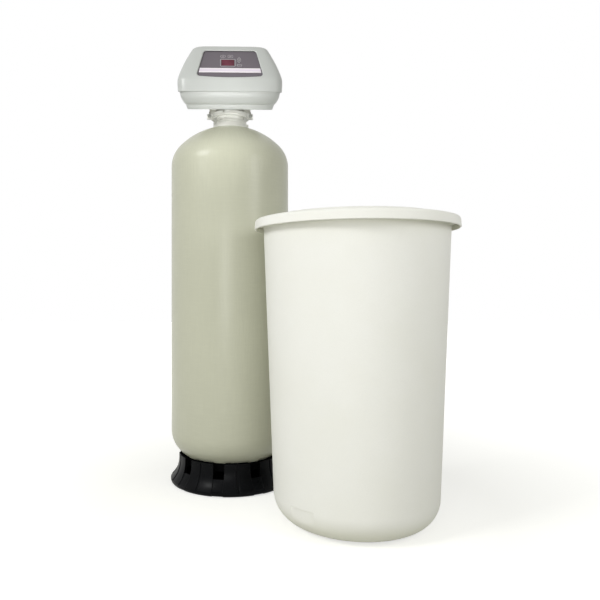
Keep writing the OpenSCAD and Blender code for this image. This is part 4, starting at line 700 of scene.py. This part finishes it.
def base_columns():
    """Upright lines round the base: (turn, sideways offset or None, tag)."""
    columns = []
    pitch = 360 / WINDOWS
    half_window = math.degrees(math.asin(WINDOW_HALF / GIRTH_R))
    half_groove = math.degrees(math.asin(GROOVE_HALF / GIRTH_R))
    window_in = WINDOW_HALF - RECESS_EDGE
    groove_in = GROOVE_HALF - RECESS_EDGE
    for sector in range(WINDOWS):
        middle = sector * pitch + WINDOW_TURN - 90
        for offset in (-WINDOW_HALF, -window_in, -WINDOW_MID, 0, WINDOW_MID, window_in, WINDOW_HALF):
            columns.append((middle, offset, "edge" if abs(offset) == WINDOW_HALF else "window"))
        free = (pitch / 2 - half_groove - half_window) / 5
        for step in range(1, 5):
            columns.append((middle + half_window + step * free, None, "plain"))
        groove = middle + pitch / 2
        for offset in (-GROOVE_HALF, -groove_in, 0, groove_in, GROOVE_HALF):
            columns.append((groove, offset, "plain" if abs(offset) == GROOVE_HALF else "groove"))
        for step in range(1, 5):
            columns.append((groove + half_groove + step * free, None, "plain"))
    return columns


def base_point(column, z, inset, height):
    """Point on an upright line of the base, inset from its surface at z and set at a height."""
    turn, offset, _ = column
    radius = base_radius(z) - inset
    angle = math.radians(turn)
    across = offset or 0
    along = math.sqrt(radius ** 2 - across ** 2)
    return Vector((along * math.cos(angle) - across * math.sin(angle),
                   along * math.sin(angle) + across * math.cos(angle), height))


def outer_point(column, z):
    """Outside of the base: recessed in its grooves and below its windows, eased at the top."""
    tag = column[2]
    recessed = tag == "groove" or tag == "window" and z <= WINDOW_SILL
    inset = RECESS if recessed and z > RECESS_FOOT else 0
    if z == BASE_TOP:
        inset += BASE_EDGE
    return base_point(column, z, inset, max(z, WINDOW_FOOT) if tag == "window" else z)


def inner_point(column, z):
    """Inside of the base: a round hollow at the foot, the wall, and the seat's bore on top."""
    inset = BASE_WALL
    if z <= BEAD_R:
        inset = base_radius(z) - HOLLOW_R
    elif z > SEAT_WALL_FOOT:
        inset = base_radius(z) - SEAT_R
    return base_point(column, z, inset, max(z, HOLLOW_FLOOR))


def base_seat():
    """Profile of the bowl that carries the tank."""
    bowl = [(r + 0.4, LOW_TANGENT - z) for r, z in reversed(dome_arcs(0.3))]
    seat = [(SEAT_IN_R, SEAT_FOOT)]
    seat += [(r, z) for r, z in bowl if SEAT_FOOT < z < BASE_TOP - 1]
    return seat + [(SEAT_R - 0.2, BASE_TOP - 0.6), (SEAT_R - 0.2, SEAT_FOOT)]


def make_base():
    """Moulded base with windows, recessed foot panels and grooves; its inside is matt."""
    rows = base_rows()
    columns = base_columns()
    count = len(columns)
    bm = bmesh.new()
    outer, inner = [], []
    for z in rows:
        outer.append([bm.verts.new(outer_point(column, z)) for column in columns])
        inner.append([bm.verts.new(inner_point(column, z)) for column in columns])

    def open_cell(row, first):
        tags = {columns[first][2], columns[(first + 1) % count][2]}
        return rows[row] >= WINDOW_SILL and tags <= {"edge", "window"} and "window" in tags

    for row in range(len(rows) - 1):
        low, high = outer[row], outer[row + 1]
        low_in, high_in = inner[row], inner[row + 1]
        for first in range(count):
            if open_cell(row, first):
                continue
            second = (first + 1) % count
            bm.faces.new((low[first], low[second], high[second], high[first]))
            within = (low_in[first], high_in[first], high_in[second], low_in[second])
            bm.faces.new(within).material_index = 1
    partner = {}
    for line, back in zip(outer, inner):
        partner.update(zip(line, back))
    bm.verts.index_update()
    rim = [edge for edge in bm.edges if len(edge.link_faces) == 1 and edge.verts[0] in partner
           and edge.verts[1] in partner and not all(v in outer[0] for v in edge.verts)]
    for edge in rim:
        first, second = edge.verts
        bm.faces.new((first, second, partner[second], partner[first])).material_index = 1
    bm.faces.new(outer[0][::-1])
    bm.faces.new(inner[0]).material_index = 1
    bmesh.ops.remove_doubles(bm, verts=bm.verts, dist=0.01)
    shell = set(bm.faces)
    skin(bm, turned(base_seat(), 128), True)
    for face in bm.faces:
        if face not in shell:
            face.material_index = 1
    obj = piece("base_boot", bm, "base_black", "frame", TANK_FRAME, ("tank_base",), 34)
    obj.data.materials.append(moulded("base_inside", linear(10, 10, 11), 0.9, Specular_IOR_Level=0.0))
    bevel = obj.modifiers.new("soft edges", "BEVEL")
    bevel.width = BASE_BEVEL * MM
    bevel.segments = 2
    bevel.limit_method = "ANGLE"
    bevel.angle_limit = math.radians(50)
    bevel.harden_normals = False


def plan_turns(count):
    """Turns that walk evenly round the head's plan."""
    fine = 4000
    points = []
    for step in range(fine + 1):
        turn = 2 * math.pi * step / fine
        points.append(plan_point((0, 0, 1.3, 1, 1), turn, 0))
    lengths = [0]
    for first, second in zip(points, points[1:]):
        lengths.append(lengths[-1] + (second - first).length)
    turns = []
    spot = 0
    for step in range(count):
        want = lengths[-1] * step / count
        while lengths[spot + 1] < want:
            spot += 1
        share = (want - lengths[spot]) / (lengths[spot + 1] - lengths[spot])
        turns.append(2 * math.pi * (spot + share) / fine)
    return turns


def plan_point(station, turn, shrink):
    """Point of the head's rounded plan at a station."""
    z, slope, half, front, rear = station
    power = 2 / PLAN_POWER
    cosine = math.cos(turn)
    sine = math.sin(turn)
    depth = (front + rear) / 2 - shrink
    y = (rear - front) / 2 + depth * math.copysign(abs(sine) ** power, sine)
    x = (half - shrink) * math.copysign(abs(cosine) ** power, cosine)
    return Vector((x, y, z + slope * (y + front - shrink)))


PLAN_TURNS = plan_turns(256)


def plan_ring(station, shrink=0.0, lift=0.0):
    """Closed ring of the head's plan, shrunk by a wall and lifted."""
    return [plan_point(station, turn, shrink) + Vector((0, 0, lift)) for turn in PLAN_TURNS]


def catmull(a, b, c, d, t):
    """Catmull-Rom value at a share t of the way from b to c."""
    bend = 2 * a - 5 * b + 4 * c - d
    twist = 3 * b - a - 3 * c + d
    return (2 * b + (c - a) * t + bend * t * t + twist * t ** 3) / 2


def spline_stations(stations, steps):
    """Smooth steps between stations, their ends included."""
    result = []
    last = len(stations) - 1
    for index in range(last):
        near = [stations[max(0, min(last, index + k))] for k in (-1, 0, 1, 2)]
        for step in range(steps):
            result.append(tuple(catmull(*values, step / steps) for values in zip(*near)))
    return result + [stations[last]]


def panel_outline(grow):
    """Outline of the panel opening, grown by a margin, with rounded corners and a bowed foot."""
    foot = -PANEL_L / 2 - grow
    head = PANEL_L / 2 + grow
    r = PANEL_CORNER
    foot_x = PANEL_FOOT_HALF + grow - r
    head_x = PANEL_HEAD_HALF + grow - r
    lean = math.degrees(math.atan2(foot_x - head_x, head - foot - 2 * r))
    bow = [(s / 16 * foot_x, foot - PANEL_BOW * (1 - (s / 16) ** 2)) for s in range(-15, 16)]
    points = arc((-foot_x, foot + r), r, 180 - lean, 262, 8) + bow
    points += arc((foot_x, foot + r), r, 278, 360 + lean, 8)
    points += arc((head_x, head - r), r, lean, 90, 8)
    points += [(head_x * (1 - step / 12), head) for step in range(1, 24)]
    points += arc((-head_x, head - r), r, 90, 180 - lean, 8)
    return points


def drawn_in(ring, share, lift=0.0):
    """Ring of the head's top, drawn in to a share of its size."""
    return [Vector((p.x * share, COVER_MID_Y + (p.y - COVER_MID_Y) * share, p.z + lift)) for p in ring]


def make_cover():
    """Head cover with its wall and a bevelled opening for the panel."""
    outer = spline_stations(COVER_STATIONS, 8)
    edge, top = outer[0], outer[-1]
    inner = [plan_ring(station, SHELL_WALL) for station in outer[1:-1]]
    inner.append(plan_ring(top, SHELL_WALL, -SHELL_WALL))
    rings = [drawn_in(inner[-1], 0.3)] + inner[::-1]
    rings += [plan_ring(edge, SHELL_WALL), plan_ring(edge, SHELL_EDGE), plan_ring(edge, 0, SHELL_EDGE)]
    rings += [plan_ring(station) for station in outer[1:]]
    brow = rings[-1]
    for share in (0.75, 0.5, 0.25):
        rings.append(drawn_in(brow, share, COVER_CROWN * (1 - share * share)))
    bm = skin(bmesh.new(), rings)
    obj = piece("cover_shell", bm, "head_grey", "cover", TANK_FRAME, ("upper_cover",), HEAD_CREASE)
    opening = []
    for grow, z in OPENING_STEPS:
        opening.append([Vector((x, y, z)) for x, y in panel_outline(grow)])
    cut(obj, skin(bmesh.new(), opening), HEAD_PANEL, HEAD_CREASE)


def make_tray():
    """Lower half of the head's housing: neck hole, rear gap, valve bay and the lead's hole."""
    foot, step, hip, flank, lip, brim = TRAY_STATIONS
    rings = [plan_ring(foot, 1.2), plan_ring(foot, 0, 1.2)]
    rings += [plan_ring(step, 0.6, -1), plan_ring(step, 0, 0.6), plan_ring(hip, 1.4), plan_ring(hip, 0, 1.4)]
    rings += [plan_ring(station) for station in spline_stations((hip, flank, lip), 6)[1:] + [brim]]
    rings += [plan_ring(station, SHELL_WALL) for station in (brim, lip, flank, hip, step)]
    rings.append(plan_ring(foot, SHELL_WALL, SHELL_WALL))
    bm = skin(bmesh.new(), rings)
    obj = piece("tray_shell", bm, "head_grey", "frame", TANK_FRAME, ("lower_tray",), HEAD_CREASE)
    neck = turned([(TRAY_HOLE_R, NECK_TOP), (TRAY_HOLE_R, TRAY_HOLE_TOP)], 96)
    cut(obj, skin(bmesh.new(), neck), TANK_FRAME, HEAD_CREASE)
    for half, near, far, top in TRAY_BAYS:
        bay = prism([(-half, near), (half, near), (half, far), (-half, far)], NECK_TOP, top)
        cut(obj, bay, TANK_FRAME, HEAD_CREASE)
    lead = turned([(LEAD_HOLE_R, reach) for reach in LEAD_HOLE_REACH], 32)
    lead_at = Matrix.Translation((LEAD_HOLE_X * MM, 0, LEAD_HOLE_Z * MM))
    to_rear = Matrix.Rotation(-math.pi / 2, 4, "X")
    cut(obj, skin(bmesh.new(), lead), TANK_FRAME @ lead_at @ to_rear, HEAD_CREASE)


def band(outline, width, low, high):
    """Flat closed frame that follows an outline inwards."""
    count = len(outline)
    rings = []
    for index in range(count):
        spot = Vector(outline[index])
        before = (spot - Vector(outline[index - 1])).normalized()
        after = (Vector(outline[(index + 1) % count]) - spot).normalized()
        side = Vector((-before.y - after.y, before.x + after.x)).normalized()
        reach = width / max(0.35, side.dot(Vector((-before.y, before.x))))
        near = spot + side * reach
        rings.append([Vector((spot.x, spot.y, low)), Vector((near.x, near.y, low)),
                      Vector((near.x, near.y, high)), Vector((spot.x, spot.y, high))])
    return skin(bmesh.new(), rings, True)


def joined(parts):
    """One mesh from several."""
    whole = bmesh.new()
    for part in parts:
        mesh = bpy.data.meshes.new("part")
        part.to_mesh(mesh)
        part.free()
        whole.from_mesh(mesh)
        bpy.data.meshes.remove(mesh)
    return whole


def make_strip():
    """Pale strip across the faceplate with a faint lilac middle."""
    lean = (PANEL_FOOT_HALF - PANEL_HEAD_HALF) / PANEL_L

    def half_at(y):
        return PANEL_HEAD_HALF + lean * (PANEL_L / 2 - y) - STRIP_INSET

    strip = bmesh.new()
    for low, high, top in STRIP_BANDS:
        corners = ((-half_at(low), low), (half_at(low), low), (half_at(high), high), (-half_at(high), high))
        skin(strip, [[Vector((x, y, z)) for x, y in corners] for z in (FACE_N + PRINT_GAP, FACE_N + top)])
    obj = piece("strip_bands", strip, "strip_white", "frame", HEAD_PANEL, ("accent_strip",), 30)
    obj.data.materials.append(moulded("strip_lilac", linear(226, 216, 230), 0.4, drift=0.04))
    flat = HEAD_PANEL.inverted()
    for face in obj.data.polygons:
        spots = [(flat @ obj.data.vertices[i].co).y / MM for i in face.vertices]
        face.material_index = 1 if min(spots) > LILAC_LOW and max(spots) < LILAC_HIGH else 0


def make_prints():
    """Pale printed lines on the faceplate and on the keys."""
    lines = []
    for centre, width, height, corner, line in FACE_PRINTS:
        outline = rounded(centre, width, height, corner)
        lines.append(band(outline, line, FACE_N + PRINT_GAP, FACE_N + PRINT_H))
    piece("panel_prints", joined(lines), "print_grey", "frame", HEAD_PANEL)
    for name, body, outline in (("up_print", "up_key", UP_MARK), ("down_print", "down_key", DOWN_MARK),
                                ("set_print", "set_key", rounded(*SET_MARK))):
        bm = band(outline, KEY_LINE, KEY_TOP + 0.01, KEY_TOP + 0.14)
        piece(name, bm, "print_grey", body, HEAD_PANEL)


def wall_radius(z):
    """Outer radius of the brine tank's side at a height."""
    return BRINE_FOOT_R + (BRINE_TOP_R - BRINE_FOOT_R) * z / BRINE_H


def brine_profile():
    """Brine tank's outline from its foot over the rim and down inside; also how many points are low."""
    tilt = math.atan2(BRINE_TOP_R - BRINE_FOOT_R, BRINE_H)
    lean = math.degrees(tilt)
    corner_x = BRINE_FOOT_R + BRINE_CORNER_R * math.tan(tilt) - BRINE_CORNER_R / math.cos(tilt)
    corner = (corner_x, BRINE_CORNER_R)
    rim_r = BRINE_TOP_R + RIM_W
    rim_foot = BRINE_H - RIM_H
    low = arc(corner, BRINE_CORNER_R, -90, -lean, 24)
    low += [(wall_radius(z), z) for z in (66.6, 67.2, FLAT_TOP, 68.8, 70)]
    side = [(wall_radius(z), z) for z in range(90, 691, 30)]
    rim = [(BRINE_TOP_R, rim_foot - 2), (BRINE_TOP_R + 2, rim_foot), (rim_r - 2, rim_foot)]
    rim += [(rim_r, rim_foot + 2), (rim_r, BRINE_H - 2), (rim_r - 2, BRINE_H)]
    inner = [(BRINE_TOP_R - BRINE_WALL, BRINE_H)]
    inner += [(wall_radius(z) - BRINE_WALL, z) for z in range(690, 69, -60)]
    inner += arc(corner, BRINE_CORNER_R - BRINE_WALL, -lean, -88, 14)
    return low + side + rim + inner, len(low)


def make_brine():
    """Brine tank: tapered side, round foot, rim, and a small leaning flat low on one corner."""
    profile, low_count = brine_profile()
    turns = [FLAT_TURN + FLAT_HALF_TURN * share for share in FLAT_SHARES]
    start, stop = turns[-1], turns[0] + 360
    turns += [start + (stop - start) * step / 180 for step in range(1, 180)]
    plane_r = wall_radius(FLAT_TOP) - FLAT_DEPTH
    slope = math.tan(math.radians(FLAT_LEAN))
    rings = []
    for index, (r, z) in enumerate(profile):
        ring = []
        for turn in turns:
            radius = r
            off = abs(turn - FLAT_TURN) / FLAT_HALF_TURN
            if index < low_count and z <= FLAT_TOP and off <= FLAT_EDGE:
                flat = (plane_r - (FLAT_TOP - z) * slope) / math.cos(math.radians(turn - FLAT_TURN))
                radius = min(r, flat)
            angle = math.radians(turn)
            ring.append(Vector((radius * math.cos(angle), radius * math.sin(angle), z)))
        rings.append(ring)
    piece("brine_shell", skin(bmesh.new(), rings), "brine_white", "frame", BRINE_FRAME, ("brine_tank",), 50)


def make_lid():
    """Lid with a tapered skirt, rounded edge, stepped crown and a locating ring inside."""
    crown = LID_TOP + LID_CROWN
    under_crown = crown - LID_WALL
    under_edge = LID_TOP - LID_WALL
    step_r = LID_CROWN_R + LID_STEP_W
    profile = [(LID_R - LID_LIP, LID_FOOT), (LID_R, LID_FOOT + LID_LIP)]
    profile += arc((LID_R - 8, LID_TOP - LID_EDGE_R), LID_EDGE_R, 0, 90, 10)
    profile += arc((step_r + 3, LID_TOP + 4), 4, -90, -150, 6)
    profile += arc((LID_CROWN_R + 2, LID_TOP + 2), 6, 30, 90, 6)
    profile += [(LID_CROWN_R - 20, crown), (LID_CROWN_R - 60, crown), (POLE_R, crown)]
    profile += [(POLE_R, under_crown), (LID_CROWN_R - 6, under_crown), (LID_CROWN_R + 8, under_edge)]
    profile += [(LID_RING_R, under_edge), (LID_RING_R, LID_RING_FOOT), (LID_RING_R + 3, LID_RING_FOOT)]
    profile += [(LID_RING_R + 5, under_edge), (LID_R - 6, under_edge), (LID_R - 4, LID_FOOT)]
    bm = skin(bmesh.new(), turned(profile, 224), True)
    piece("lid_shell", bm, "brine_white", "lid", BRINE_FRAME, ("brine_lid",), 40)


def dress_nodes():
    """Gives every CAD node the material of its slot."""
    for part in frame["record"]["subparts"]:
        node = frame["nodes"][part["node"]]
        node.data.materials.clear()
        node.data.materials.append(MATERIALS[part["material_slot"]])


def make_floor():
    """White floor that still takes the object's soft shadow."""
    half = FLOOR_HALF
    mesh = bpy.data.meshes.new("floor")
    corners = [(-half, -half, 0), (half, -half, 0), (half, half, 0), (-half, half, 0)]
    mesh.from_pydata(corners, [], [(0, 1, 2, 3)])
    floor = bpy.data.objects.new("floor", mesh)
    SCENE.collection.objects.link(floor)
    mat = Recipe("floor_white", Roughness=0.9, Specular_IOR_Level=0.0, Base_Color=FLOOR_COLOUR,
                 Emission_Color=PLAIN_WHITE)
    ground = mat.add("VectorMath", operation="LENGTH")
    mat.links.new(mat.place(), ground.inputs[0])
    glow = mat.span(ground.outputs["Value"], FLOOR_GLOW, 1.0, FLOOR_NEAR, FLOOR_FAR)
    mat.links.new(mat.math("MULTIPLY", mat.seen_rays(), glow), mat.shader.inputs["Emission Strength"])
    mesh.materials.append(mat.material)


def make_world():
    """White surroundings where they are seen, and a softer fill that dims to the rear."""
    world = bpy.data.worlds.new("studio")
    SCENE.world = world
    world.use_nodes = True
    sky = Wiring(world.node_tree)
    seen_back = sky.nodes["Background"]
    seen_back.inputs["Color"].default_value = PLAIN_WHITE
    seen_back.inputs["Strength"].default_value = 1.0
    soft_back = sky.add("Background")
    soft_back.inputs["Color"].default_value = FILL_COLOUR
    split = sky.add("SeparateXYZ")
    sky.links.new(sky.add("TexCoord").outputs["Generated"], split.inputs[0])
    fill = sky.span(split.outputs["Y"], FILL_FRONT, FILL_BACK, -1, 1)
    sky.links.new(fill, soft_back.inputs["Strength"])
    both = sky.add("MixShader")
    sky.links.new(sky.seen_rays(), both.inputs[0])
    sky.links.new(soft_back.outputs[0], both.inputs[1])
    sky.links.new(seen_back.outputs[0], both.inputs[2])
    sky.links.new(both.outputs[0], sky.nodes["World Output"].inputs["Surface"])


def lamp(name, place, aim, size, power, spread):
    """Square soft box that points at a spot and isn't seen itself."""
    light = bpy.data.lights.new(name, "AREA")
    light.energy = power
    light.size = size
    light.spread = math.radians(spread)
    obj = bpy.data.objects.new(name, light)
    obj.location = place
    obj.rotation_euler = (Vector(aim) - Vector(place)).to_track_quat("-Z", "Y").to_euler()
    obj.visible_camera = False
    SCENE.collection.objects.link(obj)


def make_camera():
    """Level camera in front of the resin tank, turned a little to the brine tank."""
    camera = bpy.data.objects.new("camera", bpy.data.cameras.new("camera"))
    camera.data.lens = LENS
    camera.data.sensor_width = SENSOR
    camera.data.shift_x = SHIFT_PIXELS[0] / FRAME_PIXELS
    camera.data.shift_y = SHIFT_PIXELS[1] / FRAME_PIXELS
    camera.location = TANK_AT + CAMERA_FROM_TANK
    camera.rotation_euler = (math.pi / 2, 0, math.radians(CAMERA_YAW))
    SCENE.collection.objects.link(camera)
    SCENE.camera = camera


make_tank()
make_collar()
make_base()
make_cover()
make_tray()
make_strip()
make_prints()
make_brine()
make_lid()
dress_nodes()
make_floor()
make_world()
for row in LAMPS:
    lamp(*row)
make_camera()
SCENE.view_settings.view_transform = "Standard"
